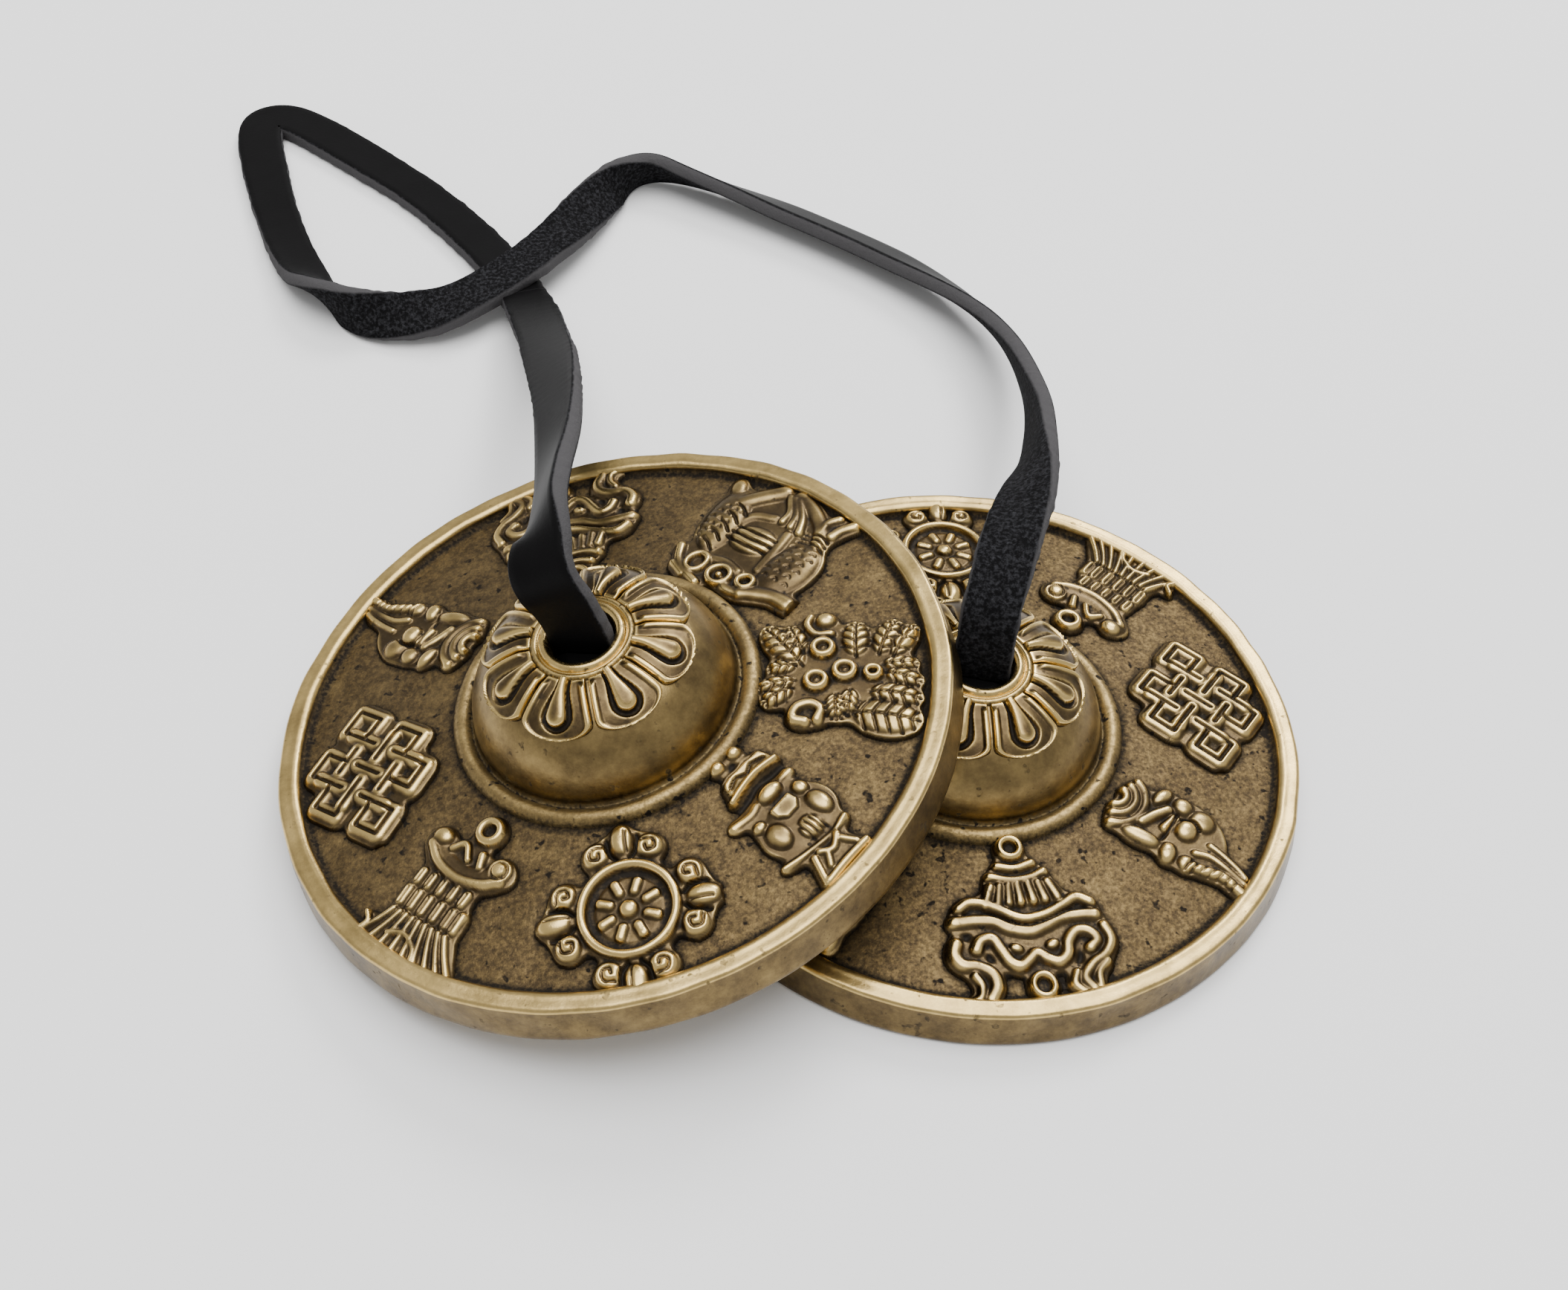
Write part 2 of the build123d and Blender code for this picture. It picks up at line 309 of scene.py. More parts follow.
def draw_knot(r):
    root = math.sqrt(0.5)

    def turned(*flat):
        out = []
        for p, q in zip(flat[::2], flat[1::2]):
            out += [(p - q) * root, (p + q) * root - 0.2]
        return out

    gap, half, far = 2.6, 0.8, 5.2
    offsets = (-gap, 0.0, gap)
    for i, p in enumerate(offsets):
        for j, q in enumerate(offsets):
            over = (i + j) % 2 == 0
            r.bead(half, 1.25 if over else 0.7, *turned(p - 1.5, q, p + 1.5, q), curved=False)
            r.bead(half, 0.7 if over else 1.25, *turned(p, q - 1.5, p, q + 1.5), curved=False)
    for near, end in ((gap, far), (-gap, -far)):
        low, high = (0.0, gap) if near > 0 else (-gap, 0.0)
        for loop in (
            turned(near, low, end, low, end, high, near, high),
            turned(low, near, low, end, high, end, high, near),
            turned(near, -near, end, -near, end, -end, near, -end, near, -near),
        ):
            r.bead(half, 1.0, *loop, curved=False)
            r.groove(0.24, 0.55, *loop, curved=False)
    for i, p in enumerate(offsets):
        for j, q in enumerate(offsets):
            run = (p - 1.4, q, p + 1.4, q) if (i + j) % 2 == 0 else (p, q - 1.4, p, q + 1.4)
            r.groove(0.24, 0.55, *turned(*run), curved=False)


def draw_conch(r):
    r.pad(1.0, -0.4, 3.6, 4.4, 0.5)
    for radius, high in ((3.0, 0.95), (2.0, 1.1), (1.05, 1.2)):
        pts = []
        for k in range(7):
            a = math.radians(200 + 140 * k / 6)
            pts += [0.3 + radius * math.cos(a), 6.6 + radius * 0.95 * math.sin(a)]
        r.bead(0.46, high, *pts)
    r.pad(-2.0, 2.6, 0.95, 2.3, 1.15, 8)
    r.pad(-1.9, -0.3, 1.3, 0.95, 1.15, 20)
    r.bead(0.5, 1.1, -0.6, 3.3, 0.8, 2.7, 2.2, 1.9)
    r.pad(3.1, 3.0, 1.5, 0.85, 1.15, -15)
    r.pad(3.5, 0.9, 1.1, 1.2, 1.1)
    r.pad(1.3, -0.6, 1.35, 1.2, 1.3)
    r.pad(3.2, -1.3, 1.4, 1.5, 1.05)
    r.bead(0.5, 1.0, 0.3, 1.2, 1.8, 0.9)
    r.groove(0.16, 0.6, -0.9, 0.9, 0.6, 0.8, 2.4, 0.9)
    r.groove(0.16, 0.6, 2.2, 0.3, 2.6, -0.7, 2.2, -1.6)
    r.pad(-1.8, -2.3, 1.0, 1.1, 1.05)
    r.groove(0.12, 0.4, -2.5, -2.4, -1.0, -2.6)
    r.groove(0.12, 0.4, -2.4, -3.0, -1.0, -3.2)
    r.bead(0.5, 1.1, -1.7, -3.0, -1.3, -4.4, -0.9, -5.8, -1.3, -7.9)
    r.bead(0.36, 0.95, -0.3, -2.4, 0.25, -3.8, 0.1, -5.6, -0.3, -7.6)
    r.bead(0.34, 0.9, 1.4, -3.2, 1.2, -4.6, 0.8, -6.3, 0.4, -7.4)
    for k in range(5):
        y = -3.8 - 0.75 * k
        r.groove(0.1, 0.3, -1.8, y, -0.8, y - 0.25)


def draw_parasol(r):
    r.ring(0, 7.0, 0.95, 0.48, 1.25)
    r.bead(0.42, 1.05, -1.6, 5.3, 0, 4.9, 1.7, 5.3)
    r.bead(0.46, 1.1, -2.5, 4.3, -1.2, 3.8, 0, 3.65, 1.4, 3.8, 2.6, 4.3)
    r.slab(0.7, -3.2, 3.7, 3.4, 3.7, 4.2, 2.2, 3.2, 0.9, -1.6, 0.9, -4.1, 2.0)
    for x0, x1 in ((-3.5, -2.9), (-2.3, -2.0), (-1.3, -1.1), (-0.2, -0.2), (1.0, 0.9), (2.1, 1.9),
                   (3.3, 2.9)):
        r.bead(0.47, 1.15, x1 * 0.92, 3.2, x0, 1.5)
    r.bead(0.5, 1.15, -6.0, 1.5, -5.0, 2.0, -3.6, 1.7, -2.2, 0.9, -1.0, 0.1, 0.2, -0.2, 2.0, 0.1,
           3.6, 0.8, 5.0, 1.4, 6.2, 0.8)
    r.bead(0.62, 1.0, -6.6, 0.3, -4.6, 0.2, -3.0, -0.1, -1.8, -0.9, 0.0, -1.4, 1.5, -1.0, 3.0, -0.4,
           4.8, -0.3, 6.3, -0.4)
    r.bead(0.55, 1.1, -5.2, -2.6, -4.6, -1.8, -3.6, -1.7, -3.0, -2.8, -2.4, -4.1, -1.5, -4.6,
           -0.6, -4.1, 0.2, -3.6, 1.0, -4.2, 2.0, -4.6, 2.9, -4.0, 3.3, -2.8, 4.2, -1.9,
           5.3, -2.0, 5.9, -2.9, 5.2, -3.6)
    r.pad(-1.6, -2.9, 0.85, 0.6, 1.0, -20)
    r.pad(1.8, -2.9, 0.9, 0.65, 1.0, 20)
    r.bead(0.6, 1.05, -6.9, -1.8, -7.2, -2.8, -6.7, -3.8, -5.4, -4.2, -4.3, -5.0, -4.1, -6.2, -4.8, -7.3)
    r.bead(0.42, 1.0, -5.8, -5.0, -5.4, -6.1, -5.8, -7.2, -7.3, -7.6)
    r.bead(0.5, 1.05, 6.9, -1.6, 7.2, -3.0, 6.4, -4.3, 5.0, -5.2, 4.0, -6.4, 4.6, -7.6)
    r.bead(0.4, 0.95, 6.4, -5.0, 5.4, -6.0, 5.2, -7.4)
    r.bead(0.42, 0.95, 3.4, -5.8, 3.0, -6.9, 3.8, -7.8)
    r.ring(0.1, -6.7, 0.95, 0.42, 1.2, 1.1)
    r.groove(0.13, 0.45, -5.6, 1.0, -4.2, 1.1, -2.4, 0.2, -0.8, -0.6, 0.6, -0.75, 2.2, -0.4,
             4.0, 0.2, 5.6, 0.3)


def draw_fish(r):
    r.pad(0.1, 0.6, 6.6, 6.2, 0.45)
    r.pad(-5.0, 1.6, 2.6, 4.2, 1.15, -4)
    r.pad(5.0, -0.5, 2.3, 5.2, 1.15, 14)
    r.bead(0.8, 1.1, -7.9, 5.2, -6.2, 5.2, -4.3, 5.9, -3.2, 6.5)
    r.bead(0.6, 1.0, -3.3, 6.7, -1.6, 6.9, -0.9, 6.3)
    r.ring(-2.8, 5.3, 0.8, 0.42, 1.3)
    r.ring(0.1, 5.9, 1.15, 0.45, 1.15)
    r.pad(0.1, 5.9, 0.5, 0.5, 1.1)
    r.ring(3.2, 5.7, 1.0, 0.42, 1.15, 1.25)
    r.bead(0.5, 1.05, 1.6, 7.9, 3.4, 7.3, 5.0, 6.4, 6.2, 4.7)
    r.bead(0.45, 1.0, 3.4, 7.7, 5.2, 7.0)
    r.pad(0.6, 0.3, 2.9, 2.2, 1.15, 8)
    for y in (1.15, 0.25, -0.7):
        r.groove(0.2, 0.5, -1.6, y, 0.6, y + 0.25, 3.0, y + 0.1)
    for row in range(6):
        for col in range(3):
            x = -6.2 + 1.25 * col + 0.35 * (row % 2)
            y = 3.4 - 0.95 * row
            r.groove(0.09, 0.28, x - 0.3, y + 0.12, x, y - 0.12, x + 0.3, y + 0.12)
            x = 5.9 + 0.9 * (col - 1) - 0.22 * row
            r.groove(0.09, 0.28, x - 0.25, y - 0.6, x, y - 0.85, x + 0.25, y - 0.6)
    for k in range(3):
        r.groove(0.14, 0.5, -6.6, -2.0 - 0.6 * k, -4.9, -2.5 - 0.6 * k, -3.2, -2.1 - 0.6 * k)
    for k in range(5):
        r.groove(0.14, 0.45, 3.4, 3.6 - 1.4 * k, 4.4, 2.9 - 1.4 * k, 5.2, 2.8 - 1.4 * k)
    r.bead(0.55, 1.0, -5.6, -4.4, -5.9, -5.6, -6.6, -6.8)
    r.bead(0.5, 1.0, -4.4, -4.2, -4.2, -5.6, -4.8, -6.7)
    for k in range(3):
        r.bead(0.45, 1.0, -2.6 + 1.2 * k, -3.0 - 0.2 * k, -1.6 + 0.8 * k, -4.8, 0.2 + 0.6 * k, -6.6)
    r.bead(0.9, 1.1, 5.2, -3.4, 4.0, -5.0, 2.4, -6.8)
    r.bead(0.75, 0.95, -5.2, -2.8, -4.0, -4.8, -1.6, -6.4, 0.6, -7.2)
    r.bead(0.6, 0.9, -1.0, 4.6, 0.8, 4.2, 2.6, 4.6)
    r.bead(0.6, 0.8, -2.6, 3.2, -2.2, 0.2, -1.8, -2.2)
    r.bead(0.6, 0.8, 3.6, 3.2, 3.8, 0.2, 3.0, -2.4, 0.8, -3.4)
    r.pad(6.9, -4.8, 1.0, 1.8, 0.95, 30)


def draw_lotus(r):
    r.pad(0.4, 0.6, 5.6, 6.6, 0.5)
    for cx, cy in ((-0.7, 2.7), (3.1, 2.1), (0.4, 0.1)):
        r.ring(cx, cy, 0.85, 0.5, 1.35)
        r.pad(cx, cy, 0.5, 0.5, 1.0)
    r.ring(0.1, -2.5, 0.62, 0.42, 1.3)
    r.pad(6.6, 1.9, 1.05, 1.1, 1.2)
    r.bead(0.4, 1.05, 4.9, 1.4, 4.9, 2.8, 6.0, 3.6, 7.0, 3.3)
    r.bead(0.5, 1.1, -5.0, 2.6, -3.9, 2.3, -3.2, 3.2, -3.6, 4.4, -4.8, 4.8, -5.2, 3.7)

    def leaf(x0, y0, x1, y1, width, ribs):
        dx, dy = x1 - x0, y1 - y0
        size = math.hypot(dx, dy)
        ux, uy = dx / size, dy / size
        r.pad((x0 + x1) / 2, (y0 + y1) / 2, size / 2 * 1.08, width * 1.22, 1.15,
              math.degrees(math.atan2(dy, dx)))
        r.groove(0.12, 0.5, x0, y0, x1, y1)
        for k in range(ribs):
            t = (k + 0.6) / ribs * size * 0.95
            for side in (-1, 1):
                bx, by = x0 + ux * t, y0 + uy * t
                ex = bx + ux * 0.7 - side * uy * width
                ey = by + uy * 0.7 + side * ux * width
                r.groove(0.13, 0.42, bx, by, ex, ey, curved=False)

    for x0, y0, x1, y1, width, ribs in (
        (-4.2, -0.6, -5.4, -6.6, 1.7, 5), (-1.9, -2.2, -2.9, -6.8, 1.15, 4),
        (0.2, -3.6, -1.0, -6.9, 0.9, 3), (1.2, -3.4, 1.2, -6.6, 0.75, 3),
        (2.4, -3.0, 6.4, -4.6, 1.15, 4), (2.0, -4.3, 5.8, -6.4, 0.85, 3),
        (2.2, -0.9, 6.3, -0.9, 1.2, 4), (1.3, 4.0, 5.9, 7.6, 1.25, 5),
        (2.7, 3.9, 6.0, 5.3, 0.95, 3), (1.3, 4.6, 0.9, 7.2, 0.8, 3),
        (-0.4, 4.7, -1.4, 8.3, 0.75, 3), (-1.3, 4.9, -3.0, 7.6, 0.95, 3),
        (-2.1, 0.9, -5.0, 0.9, 1.0, 4), (-1.6, -0.4, -4.6, -0.2, 0.8, 3),
    ):
        leaf(x0, y0, x1, y1, width, ribs)


def draw_vase(r):
    r.pad(-0.7, 7.7, 0.8, 0.75, 1.1)
    r.pad(1.4, 7.6, 0.8, 0.75, 1.1)
    r.slab(1.05, -1.9, 6.4, 3.0, 6.4, 3.6, 3.7, 1.5, 4.2, -1.0, 4.1, -2.9, 3.7)
    r.bead(0.32, 1.25, -2.6, 4.2, -0.8, 4.5, 1.0, 4.6, 3.2, 4.2)
    r.groove(0.16, 0.5, -1.7, 5.2, -0.6, 5.6, 0.4, 5.0, 1.3, 5.5, 2.6, 5.0, curved=False)
    r.groove(0.16, 0.5, -2.0, 6.1, 0.4, 6.2, 2.9, 6.0)
    r.pad(0.2, 2.3, 1.55, 0.95, 1.25)
    r.bead(0.42, 0.75, -4.4, 2.6, -2.6, 2.2, -1.5, 2.4)
    r.bead(0.36, 0.7, 1.8, 2.5, 3.0, 2.5)
    r.pad(-0.3, -1.3, 4.0, 3.1, 0.8)
    r.slab(1.15, -1.6, 1.2, 1.3, 1.2, 1.4, -0.2, 0.6, -1.0, -0.9, -1.0, -1.7, -0.1)
    r.pad(-2.6, -1.2, 1.3, 1.6, 1.25)
    r.pad(-0.2, -2.7, 1.35, 1.3, 1.35)
    r.pad(2.1, -1.7, 1.2, 1.6, 1.25)
    r.pad(2.2, 0.5, 0.85, 0.95, 1.15)
    r.pad(-3.0, 0.7, 0.8, 0.7, 1.05)
    for x in (-0.9, -0.35, 0.2, 0.65):
        r.groove(0.12, 0.45, x, -2.0, x * 1.05, -3.7)
    r.bead(0.3, 0.85, -4.8, -3.5, -2.6, -4.1, 0.4, -4.6, 2.4, -4.3)
    r.slab(0.75, -2.4, -4.8, 1.0, -4.8, 1.9, -7.6, -3.9, -7.6)
    r.bead(0.36, 1.1, -2.5, -5.0, -3.0, -6.0, -3.7, -7.4)
    r.bead(0.36, 1.15, -1.8, -5.0, -0.8, -5.7, 0.5, -5.0)
    r.bead(0.36, 1.15, -1.4, -5.6, -2.2, -6.6)
    r.bead(0.36, 1.15, 0.4, -5.6, 1.0, -6.8)
    r.bead(0.4, 1.2, -3.4, -7.4, -1.0, -7.3, 1.6, -7.4)


EMBLEMS = (
    ("wheel", draw_wheel, 271.5, 24.9), ("banner", draw_banner, 229.0, 24.6),
    ("knot", draw_knot, 187.5, 25.0), ("conch", draw_conch, 143.5, 24.4),
    ("parasol", draw_parasol, 98.0, 24.4), ("fish", draw_fish, 44.5, 24.4),
    ("lotus", draw_lotus, -7.5, 24.4), ("vase", draw_vase, -46.5, 24.4),
)


def emblem_points(relief_x, relief_y, azimuth, radius):
    """Where a map's points stand on a cymbal: across the tangent and in towards the axis."""
    a = math.radians(azimuth)
    out = radius - relief_y
    return (out * math.cos(a) - relief_x * math.sin(a), out * math.sin(a) + relief_x * math.cos(a))


def emblem_mesh(name, drawing, azimuth, radius, seat):
    """One closed emblem: the drawn top, a flat bottom sunk in the plate, and the wall between them."""
    shape, cavity, crest = drawing["shape"], drawing["cavity"], drawing["crest"]
    px, py = emblem_points(drawing["x"], drawing["y"], azimuth, radius)
    from_axis = np.hypot(px, py)
    inside = (shape > 0.03) & (from_axis > EMBLEM_NEAREST) & (from_axis < EMBLEM_FURTHEST)
    cell = inside[:-1, :-1] & inside[1:, :-1] & inside[1:, 1:] & inside[:-1, 1:]
    diagonal = cell[:-1, :-1] & cell[1:, 1:] & ~cell[1:, :-1] & ~cell[:-1, 1:]
    other = cell[1:, :-1] & cell[:-1, 1:] & ~cell[:-1, :-1] & ~cell[1:, 1:]
    cell[:-1, :-1][diagonal] = False
    cell[1:, :-1][other] = False
    # How many cells meet at each point: fewer than four on the border, which goes down into the plate
    corners = np.zeros(shape.shape)
    for di in (0, 1):
        for dj in (0, 1):
            corners[di:shape.shape[0] - 1 + di, dj:shape.shape[1] - 1 + dj] += cell
    used = corners > 0
    index = np.full(shape.shape, -1)
    index[used] = np.arange(used.sum())
    count = int(used.sum())
    ground = np.maximum(plate_height(from_axis), 0)
    top = ground + np.where(corners == 4, shape, -0.12)
    bottom = ground - EMBLEM_SINK
    tops = np.stack([px[used], py[used], top[used]], 1)
    bottoms = np.stack([px[used], py[used], bottom[used]], 1)
    i, j = np.nonzero(cell)
    a, b, c, d = index[i, j], index[i + 1, j], index[i + 1, j + 1], index[i, j + 1]
    quads = np.stack([a, b, c, d], 1)
    flip = (count + quads)[:, ::-1]
    walls = []
    padded = np.pad(cell, 1)
    for di, dj, p, q in ((-1, 0, d, a), (1, 0, b, c), (0, -1, a, b), (0, 1, c, d)):
        open_side = ~padded[i + 1 + di, j + 1 + dj]
        pp, qq = p[open_side], q[open_side]
        walls.append(np.stack([pp, pp + count, qq + count, qq], 1))
    faces = np.vstack([quads, flip] + walls)
    verts = to_seat(np.vstack([tops, bottoms]), seat)
    # The map's x runs anticlockwise round the axis and y runs inwards, so its own faces look down
    obj = new_mesh(name, verts, faces[:, ::-1].tolist())
    put_attribute(obj, "cavity", np.concatenate([cavity[used], np.ones(count)]))
    # Crests are brightened: rubbed brass and a painted highlight
    put_attribute(obj, "wear_and_highlight", np.concatenate([crest[used], np.zeros(count)]))
    put_attribute(obj, "grain", np.full(2 * count, 0.12))
    return obj


DRAWINGS = {}


def drawings():
    """Every emblem's height map by name, drawn once for both cymbals."""
    if not DRAWINGS:
        for name, draw, azimuth, radius in EMBLEMS:
            relief = Relief()
            draw(relief)
            shape, cavity, crest, skirt = relief.finish()
            DRAWINGS[name] = {"x": relief.x * DRAW_SCALE, "y": relief.y * DRAW_SCALE, "shape": shape,
                              "cavity": cavity, "crest": crest, "skirt": skirt, "step": relief.step}
    return DRAWINGS


# ---------------------------------------------------------------- castings

def casting_profile():
    """The closed outline of a cymbal's wall as radius and height, with what each point is like."""
    runs = [
        ("ring", arc((HOLE_RADIUS, RING_TOP), (3.85, 15.15), (4.35, 14.8), 9)),
        ("ring", line((4.35, 14.8), (4.5, 14.55), 2)),
        ("ring", arc((4.5, 14.55), (4.8, 14.85), DOME[0], 7)),
        ("dome", arc(*DOME, 50)),
        ("dome", line(DOME[2], (14.0, 5.6), 2)),
        ("bead", arc((14.0, 5.6), (15.0, 6.3), PLATE_INNER, 12)),
        ("plate", line(PLATE_INNER, PLATE_OUTER, 70)),
        ("plate", arc(PLATE_OUTER, (32.55, 3.62), (32.8, 4.15), 6)),
        ("rim", arc((32.8, 4.15), (33.1, 4.45), (33.7, RIM_TOP), 6)),
        ("rim", line((33.7, RIM_TOP), (34.5, RIM_TOP), 3)),
        ("rim", arc((34.5, RIM_TOP), (34.86, 4.36), (35.0, 4.0), 5)),
        ("wall", line((35.0, 4.0), (35.6, 0.5), 10)),
        ("wall", arc((35.6, 0.5), (35.45, 0.14), (35.1, 0.0), 4)),
        ("land", line((35.1, 0.0), (31.0, 0.0), 4)),
        ("under", line((31.0, 0.0), (30.2, 0.7), 2)),
        ("under", line((30.2, 0.7), (14.0, 2.3), 12)),
        ("under", line((14.0, 2.3), (11.2, 3.2), 3)),
        ("under", arc((11.2, 3.2), (9.08, 9.3), (HOLE_RADIUS, 12.6), 18)),
        ("under", line((HOLE_RADIUS, 12.6), (HOLE_RADIUS, RING_TOP), 5)),
    ]
    zones = np.concatenate([[zone] * len(points) for zone, points in runs])
    return np.vstack([points for zone, points in runs]), zones


def ripple(x, y, z, seed):
    """Slow unevenness from a few sine waves, about -1 to 1."""
    rng = np.random.default_rng(seed)
    total = np.zeros_like(x)
    for wave in range(RIPPLES):
        direction = rng.normal(size=3)
        direction /= np.linalg.norm(direction)
        total += np.sin((x * direction[0] + y * direction[1] + z * direction[2]) * rng.uniform(0.25, 1.6)
                        + rng.uniform(0, math.tau))
    return total / 5


# How each zone of a casting's outline looks: unevenness in mm, cavity, wear with painted highlight, and grain
ZONES = {
    "ring": (0.03, 0.15, 0.6, 0.1), "dome": (0.04, 0.05, 0.22, 0.25), "bead": (0.07, 0.3, 0.3, 0.6),
    "plate": (0.06, 0.35, 0.0, 1.0), "rim": (0.07, 0.0, 0.55, 0.25), "wall": (0.05, 0.0, 0.12, 0.2),
    "land": (0.0, 0.1, 0.6, 0.1), "under": (0.08, 0.45, 0.1, 0.9),
}


def casting_mesh(name, seat, seed):
    """One cymbal's body, turned round its axis, slightly uneven, with the shadow round each emblem."""
    profile, zones = casting_profile()
    around, count = AROUND, len(profile)
    uneven, dark, rubbed_and_lit, rough = np.array([ZONES[zone] for zone in zones]).T[:, None, :]
    angles = np.arange(around) * math.tau / around
    radius = np.tile(profile[:, 0], (around, 1))
    height = np.tile(profile[:, 1], (around, 1))
    x = radius * np.cos(angles)[:, None]
    y = radius * np.sin(angles)[:, None]
    wobble = ripple(x, y, height, seed)
    amount = uneven * wobble
    radial = np.isin(zones, ("wall", "rim"))[None, :]
    x = x + np.where(radial, amount * np.cos(angles)[:, None], 0)
    y = y + np.where(radial, amount * np.sin(angles)[:, None], 0)
    height = height + np.where(radial, amount * 0.6, amount)
    # halo: a soft band on the plate round each emblem's foot; it dips the plate a little and is darkened
    # below as painted shadow
    halo = np.zeros_like(x)
    for emblem, draw, azimuth, middle in EMBLEMS:
        drawing = drawings()[emblem]
        a = math.radians(azimuth)
        local_x = -x * math.sin(a) + y * math.cos(a)
        local_y = middle - (x * math.cos(a) + y * math.sin(a))
        wide = blur(drawing["skirt"], 0.55 / drawing["step"])
        i = (local_x + EMBLEM_REACH) / drawing["step"]
        j = (local_y + EMBLEM_REACH) / drawing["step"]
        near = (i >= 0) & (j >= 0) & (i < wide.shape[0] - 1.01) & (j < wide.shape[1] - 1.01)
        ii, jj = i[near].astype(int), j[near].astype(int)
        fi, fj = i[near] - ii, j[near] - jj
        value = (wide[ii, jj] * (1 - fi) * (1 - fj) + wide[ii + 1, jj] * fi * (1 - fj)
                 + wide[ii, jj + 1] * (1 - fi) * fj + wide[ii + 1, jj + 1] * fi * fj)
        halo[near] = np.maximum(halo[near], smoothstep(0.04, 0.55, value))
    halo *= (zones == "plate")[None, :]
    height = np.maximum(height - 0.12 * halo, 0)
    out = profile[:, 0]
    foot = np.exp(-((out - DOME_FOOT) / 0.35) ** 2) + np.exp(-((out - PLATE_START) / 0.5) ** 2) * 0.8
    corner = np.exp(-((out - RIM_STEP) / 0.4) ** 2) + np.exp(-((out - 5.15) / 0.2) ** 2)
    top_side = ~np.isin(zones, ("under", "land", "wall"))
    # Each zone's own darkness, more along the creases at the dome's foot, the plate's start, the rim's step
    # and the ring, plus painted shadow in the band round each emblem
    cavity = dark + ((foot + corner) * top_side)[None, :] * 0.6 + halo * 0.95
    # Each zone's brightening: rubbed brass and a painted highlight, most on the ring, the rim and the
    # striking edge
    wear_and_highlight = rubbed_and_lit + np.zeros_like(x)
    grain = rough + np.zeros_like(x)
    flat = np.stack([x.ravel(), y.ravel(), height.ravel()], 1)
    verts = to_seat(flat, seat)
    a = np.arange(around)[:, None] * count
    b = (np.arange(around) + 1)[:, None] % around * count
    s0 = np.arange(count)[None, :]
    s1 = (np.arange(count) + 1)[None, :] % count
    faces = np.stack([a + s0, a + s1, b + s1, b + s0], -1).reshape(-1, 4)
    obj = new_mesh(name, verts, faces.tolist())
    put_attribute(obj, "cavity", np.clip(cavity, 0, 1).ravel())
    put_attribute(obj, "wear_and_highlight", np.clip(wear_and_highlight, 0, 1).ravel())
    put_attribute(obj, "grain", grain.ravel())
    return obj


# ---------------------------------------------------------------- collar of petals

def dome_point(along):
    """Radius, height and outward normal on the dome, that far in millimetres from the hole's ring."""
    curve = arc(*DOME, 200)
    steps = np.hypot(*np.diff(curve, axis=0).T)
    run = np.concatenate([[0], np.cumsum(steps)])
    r = np.interp(along, run, curve[:, 0])
    z = np.interp(along, run, curve[:, 1])
    dr = np.interp(along + 0.01, run, curve[:, 0]) - r
    dz = np.interp(along + 0.01, run, curve[:, 1]) - z
    size = np.hypot(dr, dz)
    return r, z, -dz / size, dr / size


def petal_mesh(name):
    """One petal of the collar, an eighth of a turn: a scalloped lobe with a raised border and a tongue."""
    n_u, n_v = PETAL_CELLS
    u, v = np.meshgrid(np.linspace(-0.5, 0.5, n_u), np.linspace(0, 1, n_v), indexing="ij")
    along = v * PETAL_LENGTH
    r, z, nr, nz = dome_point(along)
    angle = u * math.tau / PETALS
    across = angle * r
    half = math.pi / PETALS * r
    # The lobe's outline: full width near the hole, closed by a round end
    taper = np.clip((along - LOBE_END + 1.7) / 1.7, 0, None)
    lobe = half * np.sqrt(np.clip(1 - taper**2.4, 0, 1)) - 3 * np.clip(taper - 1, 0, None)
    edge = lobe - np.abs(across)
    body = 0.42 * smoothstep(-0.02, 0.28, edge)
    border = 0.32 * np.clip(1 - ((edge - 0.5) / 0.42) ** 2, 0, 1)
    tongue_half = 0.42 + 0.62 * smoothstep(0.4, 4.2, along)
    reach = np.clip((along - (TONGUE_END - 1.0)) / 1.0, 0, None)
    tongue_q = np.sqrt((across / tongue_half) ** 2 + reach**2)
    tongue = 0.62 * np.sqrt(np.clip(1 - tongue_q**2.6, 0, 1))
    moat = 0.34 * np.clip(1 - ((tongue_q - 1.25) / 0.35) ** 2, 0, 1)
    shape = body + border * smoothstep(0.3, 1.2, along) - moat * (body > 0.1) + tongue
    seam = np.clip(1 - (np.abs(np.abs(u) - 0.5) * math.tau / PETALS * r / 0.22), 0, 1)
    shape = shape - 0.3 * seam - 0.22 * smoothstep(-0.05, -0.3, edge)
    shape = np.where((v <= 0.0) | (v >= 1.0), -0.2, shape)
    near = blur(shape, 3.0)
    cavity = np.clip(smoothstep(0.02, 0.2, near - shape) + 0.9 * smoothstep(0.14, -0.02, shape), 0, 1)
    # High points are brightened: rubbed brass and a painted highlight
    wear_and_highlight = smoothstep(0.0, 0.2, shape - near)
    out_r, out_z = r + nr * shape, z + nz * shape
    in_r, in_z = r - nr * 0.3, z - nz * 0.3
    top = np.stack([out_r * np.cos(angle), out_r * np.sin(angle), out_z], -1).reshape(-1, 3)
    under = np.stack([in_r * np.cos(angle), in_r * np.sin(angle), in_z], -1).reshape(-1, 3)
    count = n_u * n_v
    index = np.arange(count).reshape(n_u, n_v)
    corners = (index[:-1, :-1], index[1:, :-1], index[1:, 1:], index[:-1, 1:])
    quads = np.stack([corner.ravel() for corner in corners], 1)
    rim = np.concatenate([index[:, 0], index[-1, 1:], index[-2::-1, -1], index[0, -2:0:-1]])
    nxt = np.roll(rim, -1)
    walls = np.stack([nxt, rim, rim + count, nxt + count], 1)
    faces = np.vstack([quads, (quads + count)[:, ::-1], walls])
    obj = new_mesh(name, np.vstack([top, under]), faces[:, ::-1].tolist())
    put_attribute(obj, "cavity", np.concatenate([cavity.ravel(), np.ones(count)]))
    put_attribute(obj, "wear_and_highlight", np.concatenate([wear_and_highlight.ravel(), np.zeros(count)]))
    put_attribute(obj, "grain", np.full(2 * count, 0.15))
    return obj


